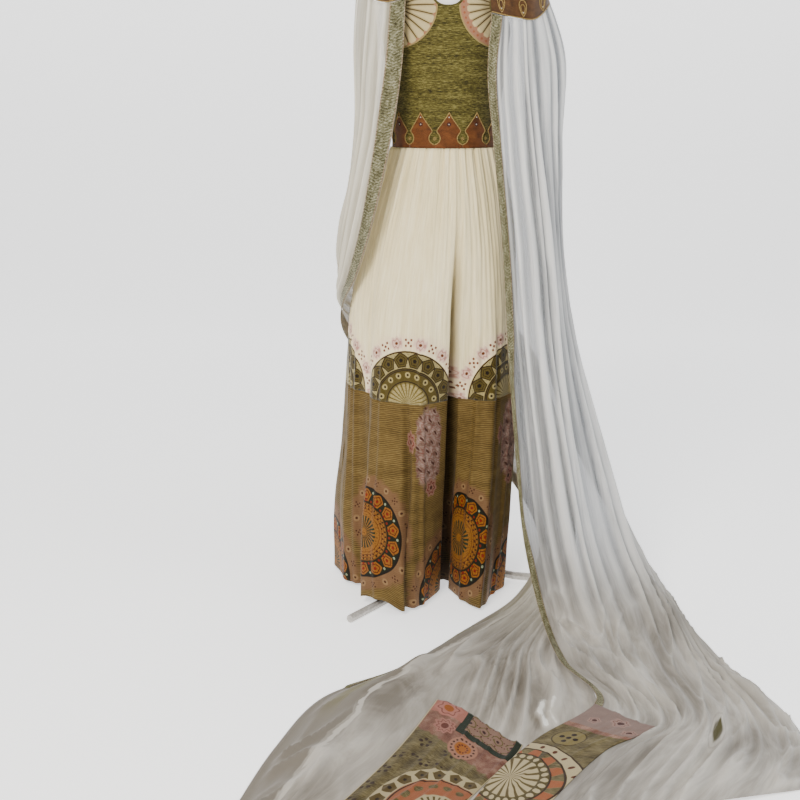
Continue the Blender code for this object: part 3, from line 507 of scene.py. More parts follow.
class Looks:
    """A Principled material whose nodes are written as calls and expressions."""

    def __init__(self, name, roughness=0.8, metallic=0.0, sheen=0.0):
        self.material = bpy.data.materials.new(name)
        self.material.use_nodes = True
        self.tree = self.material.node_tree
        self.shader = self.tree.nodes["Principled BSDF"]
        self.feed("Roughness", roughness)
        self.feed("Metallic", metallic)
        self.feed("Sheen Weight", sheen)
        self.feed("Specular IOR Level", 0.12)

    def coat(self, colour, depth=1.25, saturation=1.0, value=0.79):
        """Feed the shader's colour after deepening it and making it fuller, as the photo shows the cloths."""
        fuller = self.add("HueSaturation", {}, {"Saturation": saturation, "Value": value, "Color": colour})
        self.feed("Base Color", self.add("Gamma", {}, {"Color": fuller, "Gamma": depth}))

    def feed(self, socket, value, node=None):
        """Set a socket of a node, by default the shader, to a number or a colour, or link a wire to it."""
        target = (node or self.shader).inputs[socket]
        if isinstance(value, Wire):
            self.tree.links.new(value.socket, target)
        else:
            target.default_value = value

    def add(self, kind, settings=None, sockets=None, output=0):
        """Any node: its settings are set first, then the values or wires of its sockets."""
        node = self.tree.nodes.new("ShaderNode" + kind)
        for key, value in (settings or {}).items():
            if key == "stops":
                ramp = node.color_ramp
                while len(ramp.elements) < len(value):
                    ramp.elements.new(0.5)
                for element, (place, colour) in zip(ramp.elements, value):
                    element.position = place
                    element.color = colour
            else:
                setattr(node, key, value)
        for key, value in (sockets or {}).items():
            self.feed(key, value, node)
        return Wire(self, node.outputs[output])

    def maths(self, operation, *terms):
        return self.add("Math", {"operation": operation}, dict(enumerate(terms)))

    def cloth_map(self):
        """The piece's own map, in metres of cloth: wires for u, v and the pair."""
        both = self.add("UVMap", {"uv_map": "cloth"})
        parts = self.tree.nodes.new("ShaderNodeSeparateXYZ")
        self.feed(0, both, parts)
        return Wire(self, parts.outputs[0]), Wire(self, parts.outputs[1]), both

    def shade(self):
        """How deep in a fold the cloth lies, for painted shade in its colour: 0 on the ridges and 1 at the bottom, and
        below 0 a painted highlight.
        """
        return self.add("Attribute", {"attribute_name": "shade"}, output="Fac")

    def place(self):
        """The point on the object, in metres."""
        return self.add("TexCoord", output="Object")

    def stretched(self, both, scale):
        return self.add("Mapping", {}, {"Vector": both, "Scale": scale})

    def noise(self, vector, scale=1.0, detail=2.0, rough=0.5, warp=0.0):
        """Noise from 0 to 1."""
        return self.add("TexNoise", {}, {"Vector": vector, "Scale": scale, "Detail": detail,
                                         "Roughness": rough, "Distortion": warp})

    def ramp(self, wire, stops):
        return self.add("ValToRGB", {"stops": stops}, {0: wire})

    def step(self, wire, low, high):
        """0 below low, 1 above high, or the reverse where low is the larger."""
        return self.add("MapRange", {"interpolation_type": "SMOOTHSTEP"},
                        {"Value": wire, "From Min": low, "From Max": high})

    def mix(self, factor, a, b):
        """Colour a where the factor is 0 and b where it is 1."""
        return self.add("Mix", {"data_type": "RGBA"}, {0: factor, 6: a, 7: b}, output=2)

    def both_of(self, *masks):
        """The smallest of some masks."""
        found = masks[0]
        for mask in masks[1:]:
            found = self.maths("MINIMUM", found, mask)
        return found

    def any_of(self, *masks):
        """The largest of some masks."""
        found = masks[0]
        for mask in masks[1:]:
            found = self.maths("MAXIMUM", found, mask)
        return found

    def line(self, wire, at, half_width, soft):
        """1 on a line where the wire equals a value."""
        return self.step(abs(wire - at), half_width + soft, half_width)

    def repeat(self, wire, period, shift=0.0):
        """The wire's distance from the middle of its own period."""
        return (self.maths("FRACT", (wire + shift) / period) - 0.5) * period

    def bump(self, height, strength, distance):
        self.feed("Normal", self.add("Bump", {}, {"Height": height, "Strength": strength, "Distance": distance}))


def tint(red, green, blue):
    """A colour given as screen values from 0 to 255, in the shader's linear values."""
    return tuple((c / 255 / 12.92 if c <= 10 else ((c / 255 + 0.055) / 1.055) ** 2.4)
                 for c in (red, green, blue)) + (1.0,)


CREAM = tint(226, 212, 176)
DARK_THREAD = tint(58, 44, 24)
OLIVE = tint(120, 108, 62)
PALE_OLIVE = tint(156, 143, 92)
PINK = tint(196, 140, 122)
PALE_PINK = tint(200, 170, 158)
BROWN_SPOT = tint(84, 50, 34)
ORANGE = tint(196, 118, 44)
GOLD_THREAD = tint(190, 166, 106)
RED_SPOT = tint(146, 56, 30)
DEEP_GREEN = tint(44, 48, 24)
RUST = tint(150, 88, 46)


def polar(looks, x, y):
    """Distance from the centre and the angle round it, in turns from -0.5 to 0.5."""
    radius = looks.maths("SQRT", x * x + y * y)
    return radius, looks.maths("ARCTAN2", y, x) / TAU


def ring_spots(looks, radius, turn, count, middle, wide, tall, shift=0.0):
    """Distance from the nearest of some ovals spaced round a ring: below 1 is inside an oval."""
    along = looks.repeat(turn + shift, 1 / count) * (TAU * middle / wide)
    out = (radius - middle) / tall
    return looks.maths("SQRT", along * along + out * out)


def lurex_weave(looks, both, dark, middle, light, scale=1.0):
    """Colour and height of a cloth woven across with a shiny thread: short dashes of light and dark."""
    dashes = looks.noise(looks.stretched(both, (95 * scale, 560 * scale, 1)), 1.0, 3.0, 0.68)
    patches = looks.noise(looks.stretched(both, (12, 90, 1)), 1.0, 2.0, 0.6)
    glints = looks.noise(looks.stretched(both, (420 * scale, 900 * scale, 1)), 1.0, 1.0)
    level = dashes * 0.74 + patches * 0.26
    colour = looks.ramp(level, ((0.38, dark), (0.50, middle), (0.62, light)))
    colour = looks.mix(looks.step(glints, 0.66, 0.76) * 0.55, colour, tint(206, 190, 140))
    return colour, dashes, glints


def lurex_looks():
    looks = Looks("olive_lurex", sheen=0.15)
    both = looks.cloth_map()[2]
    colour, dashes, glints = lurex_weave(looks, both, tint(56, 51, 18), tint(106, 98, 46), tint(154, 146, 92))
    looks.coat(colour)
    looks.feed("Roughness", 0.72 - looks.step(glints, 0.60, 0.72) * 0.34)
    looks.feed("Metallic", looks.step(glints, 0.60, 0.74) * 0.5)
    looks.bump(dashes, 0.55, 0.0008)
    return looks.material


def rust_looks(name, dark, middle, light):
    looks = Looks(name, sheen=0.25)
    both = looks.cloth_map()[2]
    fine = looks.noise(looks.stretched(both, (900, 500, 1)), 1.0, 1.0)
    soft = looks.noise(looks.stretched(both, (40, 60, 1)), 1.0, 3.0, 0.6)
    colour = looks.ramp(soft * 0.6 + fine * 0.4, ((0.35, dark), (0.5, middle), (0.68, light)))
    looks.coat(colour)
    looks.feed("Roughness", 0.5 + fine * 0.2)
    looks.bump(fine, 0.35, 0.0004)
    return looks.material


def cord_looks(name, dark, light):
    """Twisted cord: a fine slanting stripe in the object's own space."""
    looks = Looks(name, roughness=0.5, metallic=0.25)
    grain = looks.noise(looks.place(), 900.0, 1.0)
    looks.coat(looks.ramp(grain, ((0.4, dark), (0.6, light))))
    looks.bump(grain, 0.5, 0.0004)
    return looks.material


def bead_looks(name, colour, roughness):
    looks = Looks(name, roughness=roughness)
    grain = looks.noise(looks.place(), 300.0, 1.0)
    looks.coat(looks.mix(grain, colour, tuple(0.8 * c for c in colour[:3]) + (1.0,)))
    looks.feed("Coat Weight", 0.6)
    return looks.material


def fan_looks(name, ring):
    """Cream rays with thin dark threads between them, and a terracotta ring of small spots round them."""
    looks = Looks(name, sheen=0.2)
    u, v, both = looks.cloth_map()
    radius, turn = polar(looks, u, v)
    radius = radius / FAN_RADIUS
    ray = (1 - abs(looks.repeat(turn, 0.5 / FAN_RAYS)) * (4 * FAN_RAYS)) * radius
    thread = looks.noise(looks.stretched(both, (700, 700, 1)), 1.0, 2.0)
    cream = looks.mix(thread, tint(190, 172, 126), tint(232, 217, 176))
    # Painted shade in the grooves beside each dark thread, where the padded rays dip.
    cream = looks.mix(looks.step(ray, 0.42, 0.10) * 0.45, cream, tint(140, 122, 76))
    colour = looks.mix(looks.step(ray, 0.115, 0.055), cream, tint(92, 72, 38))
    ends = radius + looks.step(ray, 0.5, 0.0) * 0.05
    pink = looks.mix(thread, tint(150, 106, 80), tint(202, 160, 132))
    spots = ring_spots(looks, radius, turn, 46, (ring + 0.965) / 2 + 0.01, 0.030, 0.030)
    pink = looks.mix(looks.step(spots, 1.2, 0.7), pink, tint(172, 112, 84))
    pink = looks.mix(looks.step(radius, 0.955, 0.975), pink, tint(176, 156, 106))
    colour = looks.mix(looks.step(ends, ring, ring + 0.03), colour, pink)
    colour = looks.mix(looks.step(radius, 0.30, 0.27), colour, looks.mix(thread, OLIVE, PALE_OLIVE))
    looks.coat(colour)
    looks.bump(looks.step(ray, 0.02, 0.3) * looks.step(ends, ring, ring - 0.05) + thread * 0.3, 0.6, 0.0012)
    return looks.material


def spot_cluster(looks, radius, turn, count, middle, size, shift=0.0):
    """Five small squares, one in the middle and four round it, repeated on a ring."""
    along = looks.repeat(turn + shift, 1 / count) * (TAU * middle)
    out = radius - middle
    across, up = abs(along + out) * 0.7071, abs(along - out) * 0.7071
    middle_spot = looks.maths("MAXIMUM", across, up)
    ring = looks.maths("MAXIMUM", abs(abs(along) - size * 1.05), abs(abs(out) - size * 1.05))
    return looks.any_of(looks.step(middle_spot, size * 0.52, size * 0.36), looks.step(ring, size * 0.48, size * 0.34))


def pentagons(looks, radius, turn, count, middle, size, shift=0.0):
    """Distance from the nearest of some five-sided petals round a ring, each with a corner outwards."""
    along = abs(looks.repeat(turn + shift, 1 / count) * (TAU * middle)) / size
    out = (radius - middle) / size
    return looks.any_of(-1.0 * out, along * 0.951 - out * 0.309, along * 0.588 + out * 0.809)


def half_round(looks, colour, x, y, thread, above):
    """A half round over the tier seam: cream rays, olive with daisies, then olive petals on cream."""
    radius, turn = polar(looks, x, y)
    olive = looks.mix(thread, tint(78, 67, 32), tint(136, 122, 74))
    cream = looks.mix(thread, tint(168, 154, 110), tint(212, 200, 160))
    petals = pentagons(looks, radius, turn, 18, 0.825, 0.120, 0.5 / 18)
    outer = looks.mix(looks.step(petals, 1.14, 1.04), cream, DARK_THREAD)
    outer = looks.mix(looks.step(petals, 0.98, 0.90), outer, olive)
    outer = looks.mix(looks.line(petals, 0.62, 0.03, 0.03), outer, DARK_THREAD)
    outer = looks.mix(looks.step(petals, 0.34, 0.22), outer, tint(40, 28, 14))
    daisies = ring_spots(looks, radius, turn, 18, 0.55, 0.055, 0.055)
    inner = looks.mix(looks.step(daisies, 1.15, 0.9), olive, cream)
    inner = looks.mix(looks.step(daisies, 0.50, 0.34), inner, DARK_THREAD)
    rays = abs(looks.repeat(turn, 1 / 26)) * 52
    centre = looks.mix(looks.step(rays, 0.50, 0.85) * 0.9, cream, tint(118, 102, 54))
    found = looks.mix(looks.step(radius, 0.36, 0.42), centre, inner)
    found = looks.mix(looks.any_of(looks.line(radius, 0.665, 0.008, 0.006), looks.line(radius, 0.635, 0.006, 0.006),
                                   looks.line(radius, 0.425, 0.006, 0.006)), found, DARK_THREAD)
    found = looks.mix(looks.step(radius, 0.67, 0.69), found, outer)
    found = looks.mix(looks.line(radius, 0.985, 0.012, 0.008), found, tint(78, 56, 30))
    stitches = looks.noise(looks.stretched(looks.cloth_map()[2], (330, 330, 1)), 1.0, 2.0, 0.7)
    found = looks.mix(looks.step(stitches, 0.50, 0.66) * 0.5, found, tint(76, 64, 30))
    inside = looks.both_of(looks.step(radius, 1.005, 0.990), above)
    mottled = looks.noise(looks.stretched(looks.cloth_map()[2], (46, 46, 1)), 1.0, 3.0)
    mist = looks.step(abs(radius - 1.15) + (mottled - 0.5) * 0.25, 0.22, 0.08)
    halo = looks.mix(looks.both_of(mist * 0.30, above), colour, tint(206, 176, 162))
    flowers = ring_spots(looks, radius, turn, 14, 1.15, 0.135, 0.115, 0.5 / 14)
    petal_edge = flowers + looks.maths("SINE", turn * (TAU * 84)) * 0.14
    halo = looks.mix(looks.both_of(looks.step(petal_edge, 1.20, 0.85), above) * 0.85, halo,
                     looks.mix(thread, tint(172, 136, 124), tint(208, 180, 168)))
    halo = looks.mix(looks.both_of(looks.line(petal_edge, 0.62, 0.05, 0.08), above) * 0.8, halo, tint(148, 106, 96))
    halo = looks.mix(looks.both_of(looks.step(flowers, 0.30, 0.20), above), halo, BROWN_SPOT)
    halo = looks.mix(looks.both_of(spot_cluster(looks, radius, turn, 14, 1.15, 0.052), above), halo,
                     tint(98, 58, 48))
    return looks.mix(inside, halo, found), inside


def full_round(looks, colour, x, y, thread):
    """A whole round on the border: a sunburst in gold rings, then orange petals on deep green."""
    radius, turn = polar(looks, x, y)
    orange = looks.mix(thread, tint(140, 92, 32), tint(190, 132, 62))
    gold = looks.mix(thread, tint(136, 92, 38), tint(186, 138, 72))
    petals = pentagons(looks, radius, turn, 14, 0.815, 0.128)
    outer = looks.mix(looks.step(petals, 1.06, 0.96), DEEP_GREEN, orange)
    outer = looks.mix(looks.line(petals, 0.66, 0.05, 0.05), outer, tint(104, 52, 18))
    outer = looks.mix(looks.step(petals, 0.30, 0.20), outer, RED_SPOT)
    pearls = ring_spots(looks, radius, turn, 14, 0.905, 0.030, 0.030, 0.5 / 14)
    outer = looks.mix(looks.step(pearls, 1.1, 0.8), outer, tint(168, 176, 150))
    diamonds = ring_spots(looks, radius, turn, 28, 0.70, 0.030, 0.030, 0.25 / 14)
    outer = looks.mix(looks.step(diamonds, 1.1, 0.8), outer, RED_SPOT)
    rays = abs(looks.repeat(turn, 1 / 24)) * 48
    teal = looks.mix(thread, tint(34, 50, 34), tint(60, 82, 56))
    sun = looks.mix(looks.both_of(looks.step(rays, 0.62, 0.42), looks.step(radius, 0.07, 0.10)), gold, teal)
    found = looks.mix(looks.step(radius, 0.345, 0.365), sun, gold)
    rings = abs(looks.repeat(radius + looks.maths("SINE", turn * (TAU * 17)) * 0.004, 0.060))
    found = looks.mix(looks.both_of(looks.step(rings, 0.010, 0.005), looks.step(radius, 0.40, 0.41)) * 0.75, found,
                      tint(104, 60, 22))
    dots = ring_spots(looks, radius, turn, 30, 0.53, 0.022, 0.022)
    found = looks.mix(looks.step(dots, 1.2, 0.8), found, BROWN_SPOT)
    dots = ring_spots(looks, radius, turn, 36, 0.60, 0.020, 0.020, 0.5 / 36)
    found = looks.mix(looks.step(dots, 1.2, 0.8), found, DEEP_GREEN)
    found = looks.mix(looks.step(radius, 0.63, 0.65), found, outer)
    found = looks.mix(looks.line(radius, 0.980, 0.020, 0.008), found, tint(38, 32, 16))
    stitches = looks.noise(looks.stretched(looks.cloth_map()[2], (260, 260, 1)), 1.0, 2.0, 0.7)
    found = looks.mix(looks.step(stitches, 0.52, 0.66) * 0.6, found, tint(64, 38, 14))
    ragged = looks.noise(looks.stretched(looks.cloth_map()[2], (52, 52, 1)), 1.0, 3.0)
    halo_mask = looks.step(radius + (ragged - 0.5) * 0.30, 1.34, 1.20)
    halo = looks.mix(thread * 0.5 + ragged * 0.5, tint(118, 86, 58), tint(164, 132, 104))
    halo = looks.mix(spot_cluster(looks, radius, turn, 12, 1.16, 0.040), halo, tint(82, 44, 30))
    flowers = ring_spots(looks, radius, turn, 12, 1.15, 0.070, 0.070, 0.5 / 12)
    halo = looks.mix(looks.step(flowers, 1.2, 0.8) * 0.8, halo, tint(178, 148, 112))
    halo = looks.mix(looks.step(flowers, 0.5, 0.3), halo, BROWN_SPOT)
    colour = looks.mix(halo_mask * 0.85, colour, halo)
    inside = looks.step(radius, 1.01, 0.995)
    return looks.mix(inside, colour, found), looks.any_of(inside, halo_mask * 0.5)


HALF_ROUND_RADIUS = 0.115
HALF_ROUND_PERIOD = 0.2662
HALF_ROUND_CENTRE = 0.255
FULL_ROUND_RADIUS = 0.104
FULL_ROUND_PERIOD = 0.50775
FULL_ROUND_CENTRE = 0.2190
FULL_ROUND_HEIGHT = 0.170
LOW_ROUND_HEIGHT = 0.045
PENDANT_CENTRE = 0.404


def white_looks():
    """Soft cotton with a fine crinkle, and the half rounds that stand on the tier seam."""
    looks = Looks("white_cotton", sheen=0.2)
    u, v, both = looks.cloth_map()
    crinkle = looks.noise(looks.stretched(both, (230, 14, 1)), 1.0, 3.0, 0.6, 0.3)
    thread = looks.noise(looks.stretched(both, (900, 1200, 1)), 1.0, 1.0)
    broad = looks.noise(looks.stretched(both, (16, 3, 1)), 1.0, 2.0)
    cloth = looks.ramp(crinkle * 0.5 + thread * 0.15 + broad * 0.35,
                       ((0.36, tint(202, 188, 148)), (0.50, tint(220, 207, 168)), (0.64, tint(232, 221, 188))))
    x = looks.repeat(u, HALF_ROUND_PERIOD, 0.5 * HALF_ROUND_PERIOD - HALF_ROUND_CENTRE) / HALF_ROUND_RADIUS
    y = v / HALF_ROUND_RADIUS
    colour, inside = half_round(looks, cloth, x, y, thread, looks.step(v, -0.002, 0.001))
    # Painted shade: the colour turns brown deep in the skirt's narrow folds.
    colour = looks.mix(looks.shade() * 0.80, colour, tint(88, 74, 56))
    looks.coat(colour, 1.0 + inside * 0.25, 1.10 + inside * 0.06, 1.14 - inside * 0.40)
    looks.feed("Roughness", 0.85 - inside * 0.15)
    looks.bump(crinkle * (1 - inside) + thread * 0.5 + inside, 0.5, 0.0011)
    return looks.material


def border_looks():
    """Ribbed gold brown cloth with whole rounds, and a pink spotted pendant under each half round."""
    looks = Looks("gold_border", sheen=0.04)
    u, v, both = looks.cloth_map()
    waver = looks.noise(looks.stretched(both, (9, 30, 1)), 1.0, 2.0)
    rib = looks.maths("SINE", v * (TAU / 0.0042) + waver * 9.0) * 0.5 + 0.5
    dashes = looks.noise(looks.stretched(both, (60, 620, 1)), 1.0, 3.0, 0.65)
    thread = looks.noise(looks.stretched(both, (800, 800, 1)), 1.0, 1.0)
    broad = looks.noise(looks.stretched(both, (9, 40, 1)), 1.0, 2.0)
    level = rib * 0.22 + dashes * 0.50 + broad * 0.28
    cloth = looks.ramp(level, ((0.34, tint(93, 76, 40)), (0.50, tint(127, 106, 62)), (0.68, tint(160, 138, 92))))
    half = FULL_ROUND_PERIOD / 2
    pendant_u = looks.repeat(u, FULL_ROUND_PERIOD, half - PENDANT_CENTRE) / 0.045
    pendant_v = (v - 0.385) / 0.090
    pendant = looks.maths("POWER", looks.maths("POWER", abs(pendant_u), 3.0)
                          + looks.maths("POWER", abs(pendant_v), 3.0), 1 / 3)
    mottled = looks.noise(looks.stretched(both, (70, 70, 1)), 1.0, 3.0)
    pink = looks.mix(looks.step(dashes * 0.4 + mottled * 0.6, 0.36, 0.66), tint(124, 98, 84), tint(190, 166, 154))
    spot_u, spot_v = looks.repeat(u + v * 0.62 + mottled * 0.012, 0.026), looks.repeat(v + u * 0.35, 0.024)
    spot = looks.maths("SQRT", spot_u * spot_u + spot_v * spot_v)
    pink = looks.mix(looks.step(spot, 0.0048, 0.0028) * 0.9, pink, tint(84, 46, 36))
    pink = looks.mix(looks.line(spot, 0.0098, 0.0007, 0.0009) * 0.5, pink, tint(142, 88, 78))
    colour = looks.mix(looks.step(pendant + (mottled - 0.5) * 0.5, 1.08, 0.88), cloth, pink)
    for across, up, wide, tall in ((0.010, 0.288, 0.020, 0.020), (-0.058, 0.400, 0.013, 0.024)):
        flower_u = looks.repeat(u, FULL_ROUND_PERIOD, half - PENDANT_CENTRE - across) / wide
        flower, turn = polar(looks, flower_u, (v - up) / tall)
        edge = flower + looks.maths("SINE", turn * (TAU * 7)) * 0.12
        colour = looks.mix(looks.step(edge, 1.10, 0.90), colour, looks.mix(thread, tint(142, 104, 88), tint(186, 150, 134)))
        colour = looks.mix(looks.line(edge, 0.60, 0.05, 0.08), colour, tint(128, 68, 58))
        colour = looks.mix(looks.step(flower, 0.28, 0.18), colour, BROWN_SPOT)
    uneven = looks.maths("COSINE", (u - FULL_ROUND_CENTRE) * (math.pi / FULL_ROUND_PERIOD)) * 0.011
    for centre, height in ((FULL_ROUND_CENTRE, uneven + FULL_ROUND_HEIGHT), (FULL_ROUND_CENTRE + half, LOW_ROUND_HEIGHT)):
        x = looks.repeat(u, FULL_ROUND_PERIOD, half - centre) / FULL_ROUND_RADIUS
        colour, inside = full_round(looks, colour, x, (v - height) / FULL_ROUND_RADIUS, thread)
    # Painted shade: the colour turns near black deep in the skirt's narrow folds.
    colour = looks.mix(looks.shade() * 0.85, colour, tint(30, 19, 9))
    looks.coat(colour, 1.25, 1.03, 0.76)
    looks.feed("Roughness", 0.62)
    looks.bump(level + thread * 0.3, 0.6, 0.0010)
    return looks.material


def sheer_looks(name, hanging, hanging_shade_colour, lying, lying_shade_colour, floor_at, mark=None, turned_edge=False):
    """See-through crinkled chiffon: paler on the ridges of its folds, and greyer between them as painted shade, where
    it is also thinner.
    """
    looks = Looks(name, roughness=0.75, sheen=0.3)
    u, v, both = looks.cloth_map()
    crinkle = looks.noise(looks.stretched(both, (150, 9, 1)), 1.0, 3.0, 0.6, 0.9)
    broad = looks.noise(looks.stretched(both, (20, 4, 1)), 1.0, 3.0, 0.6, 0.5)
    thread = looks.noise(looks.stretched(both, (1500, 1500, 1)), 1.0, 1.0)
    lies = looks.step(v, floor_at - 0.25, floor_at + 0.10)
    folds = looks.noise(looks.stretched(both, (13, 6, 1)), 1.0, 3.0, 0.6, 1.4)
    # Painted shade: how deep the cloth lies in its folds where it hangs, and among its billows at random where it lies,
    # with the crinkle's tone at random on top.
    hanging_painted_shade = looks.shade() * 0.80 + (broad - 0.5) * 1.0 + (crinkle - 0.5) * 0.55
    lying_painted_shade = looks.shade() * 0.85 + (folds - 0.5) * 1.2 + (crinkle - 0.5) * 0.25
    deep = looks.both_of(1.0, looks.any_of(0.0, hanging_painted_shade * (1 - lies) + lying_painted_shade * lies))
    # Along the turned edge of the lying cloth: a strip of painted shade where one layer lies, and just inside it a line
    # without painted shade, a painted highlight along the fold.
    if turned_edge:
        place = u + (folds - 0.5) * 0.06
        deep = looks.any_of(deep, looks.step(place, 0.104, 0.096) * lies * 0.92)
        deep = deep * (1 - looks.line(place, 0.112, 0.004, 0.004) * lies)
    # Colours of the lit ridges and of the painted shade in the valleys: one pair where the cloth hangs, and one darker
    # pair, also painted shade, where it lies.
    ridge = looks.mix(lies, hanging, lying)
    valley = looks.mix(lies, hanging_shade_colour, lying_shade_colour)
    colour = looks.mix(deep, ridge, valley)
    # A painted highlight on the crest of the crumpled ridge, where the shade is below zero.
    colour = looks.mix(looks.step(looks.shade(), -0.10, -0.55), colour, tint(224, 222, 216))
    if turned_edge:
        braid = looks.line(place, 0.052, 0.009, 0.006) * lies * looks.step(v, floor_at + 0.55, floor_at + 0.40)
        colour = looks.mix(braid * 0.55, colour, tint(112, 108, 76))
    if mark is not None:
        spot, turn = polar(looks, (u - mark[0]) / 0.022, (v - mark[1]) / 0.050)
        colour = looks.mix(looks.step(spot + (broad - 0.5) * 0.8, 1.15, 0.75), colour, tint(66, 62, 38))
        colour = looks.mix(looks.line(spot + (broad - 0.5) * 0.5, 1.45, 0.03, 0.10) * 0.25, colour, tint(90, 84, 78))
    looks.coat(colour, 1.0, 1.25, 1.12)
    looks.feed("Alpha", 0.80 - deep * (1 - lies) * 0.28 + lies * 0.12 + (thread - 0.5) * 0.10)
    looks.bump(crinkle * 0.5 + broad, 0.5, 0.0022)
    return looks.material


def braid_looks():
    """Narrow braid: mottled olive stitches that slant towards the middle, and a pale thread on each side."""
    looks = Looks("olive_braid", sheen=0.15)
    u, v, both = looks.cloth_map()
    slant = looks.maths("FRACT", v * 150.0 + abs(u - 0.5) * 2.2)
    grain = looks.noise(looks.stretched(both, (6, 310, 1)), 1.0, 3.0, 0.75)
    broad = looks.noise(looks.stretched(both, (2, 34, 1)), 1.0, 2.0)
    colour = looks.ramp(slant * 0.10 + grain * 0.62 + broad * 0.28, ((0.38, tint(70, 65, 40)), (0.50, tint(120, 116, 84)),
                                                                    (0.62, tint(176, 172, 144))))
    edge = looks.step(abs(u - 0.5), 0.42, 0.45)
    colour = looks.mix(edge * 0.8, colour, looks.mix(looks.step(grain, 0.40, 0.60), tint(118, 92, 62), tint(196, 176, 146)))
    looks.coat(colour, 1.2, 0.92, 0.90)
    looks.feed("Roughness", 0.6 + grain * 0.15)
    looks.bump(slant * 0.3 + grain + edge, 0.6, 0.0010)
    return looks.material


def form_looks():
    looks = Looks("form_cover", roughness=0.55)
    grain = looks.noise(looks.place(), 700.0, 2.0)
    broad = looks.noise(looks.place(), 9.0, 2.0)
    looks.feed("Base Color", looks.ramp(grain * 0.5 + broad * 0.5, ((0.35, tint(242, 238, 230)),
                                                                    (0.65, tint(250, 247, 241)))))
    looks.bump(grain, 0.12, 0.0004)
    return looks.material


def metal_looks():
    looks = Looks("stand_metal", roughness=0.42, metallic=0.25)
    grain = looks.noise(looks.place(), 160.0, 3.0)
    looks.feed("Base Color", looks.ramp(grain, ((0.4, tint(170, 166, 160)), (0.6, tint(190, 186, 180)))))
    looks.feed("Roughness", grain * 0.2 + 0.34)
    looks.bump(grain, 0.08, 0.0004)
    return looks.material


def floor_looks():
    """White paper that glows a little, so that it stays white behind the dress."""
    looks = Looks("floor_paper", roughness=0.9)
    grain = looks.noise(looks.place(), 60.0, 2.0)
    looks.feed("Base Color", looks.mix(grain, tint(250, 250, 250), tint(254, 254, 254)))
    looks.feed("Emission Color", looks.mix(grain, tint(252, 252, 252), tint(255, 255, 255)))
    looks.feed("Emission Strength", 0.95)
    return looks.material


def box_mask(looks, x, y, low, high, soft=0.0008):
    """1 inside an upright box, from its lowest to its highest x and y."""
    return looks.both_of(looks.step(x, low[0] - soft, low[0] + soft), looks.step(x, high[0] + soft, high[0] - soft),
                         looks.step(y, low[1] - soft, low[1] + soft), looks.step(y, high[1] + soft, high[1] - soft))


def rosette(looks, colour, x, y, centre, size, petals, petal, heart):
    """A flower with round petals, a darker line inside its edge and a heart."""
    radius, turn = polar(looks, (x - centre[0]) / size, (y - centre[1]) / size)
    edge = radius + looks.maths("SINE", turn * (TAU * petals)) * 0.11
    colour = looks.mix(looks.step(edge, 1.06, 0.94), colour, petal)
    colour = looks.mix(looks.line(edge, 0.70, 0.03, 0.05) * 0.7, colour, tint(118, 66, 58))
    return looks.mix(looks.step(radius, 0.42, 0.34), colour, heart)


def tibeb_base(looks, both):
    thread = looks.noise(looks.stretched(both, (700, 700, 1)), 1.0, 2.0)
    mottled = looks.noise(looks.stretched(both, (34, 34, 1)), 1.0, 3.0, 0.6)
    ribs = looks.noise(looks.stretched(both, (60, 560, 1)), 1.0, 2.0, 0.6)
    olive = looks.ramp(ribs * 0.5 + mottled * 0.5, ((0.36, tint(86, 74, 44)), (0.50, tint(122, 110, 76)),
                                                    (0.64, tint(158, 146, 110))))
    pink = looks.ramp(thread * 0.4 + mottled * 0.6, ((0.36, tint(122, 84, 70)), (0.50, tint(156, 118, 102)),
                                                     (0.64, tint(190, 160, 142))))
    return thread, mottled, olive, pink


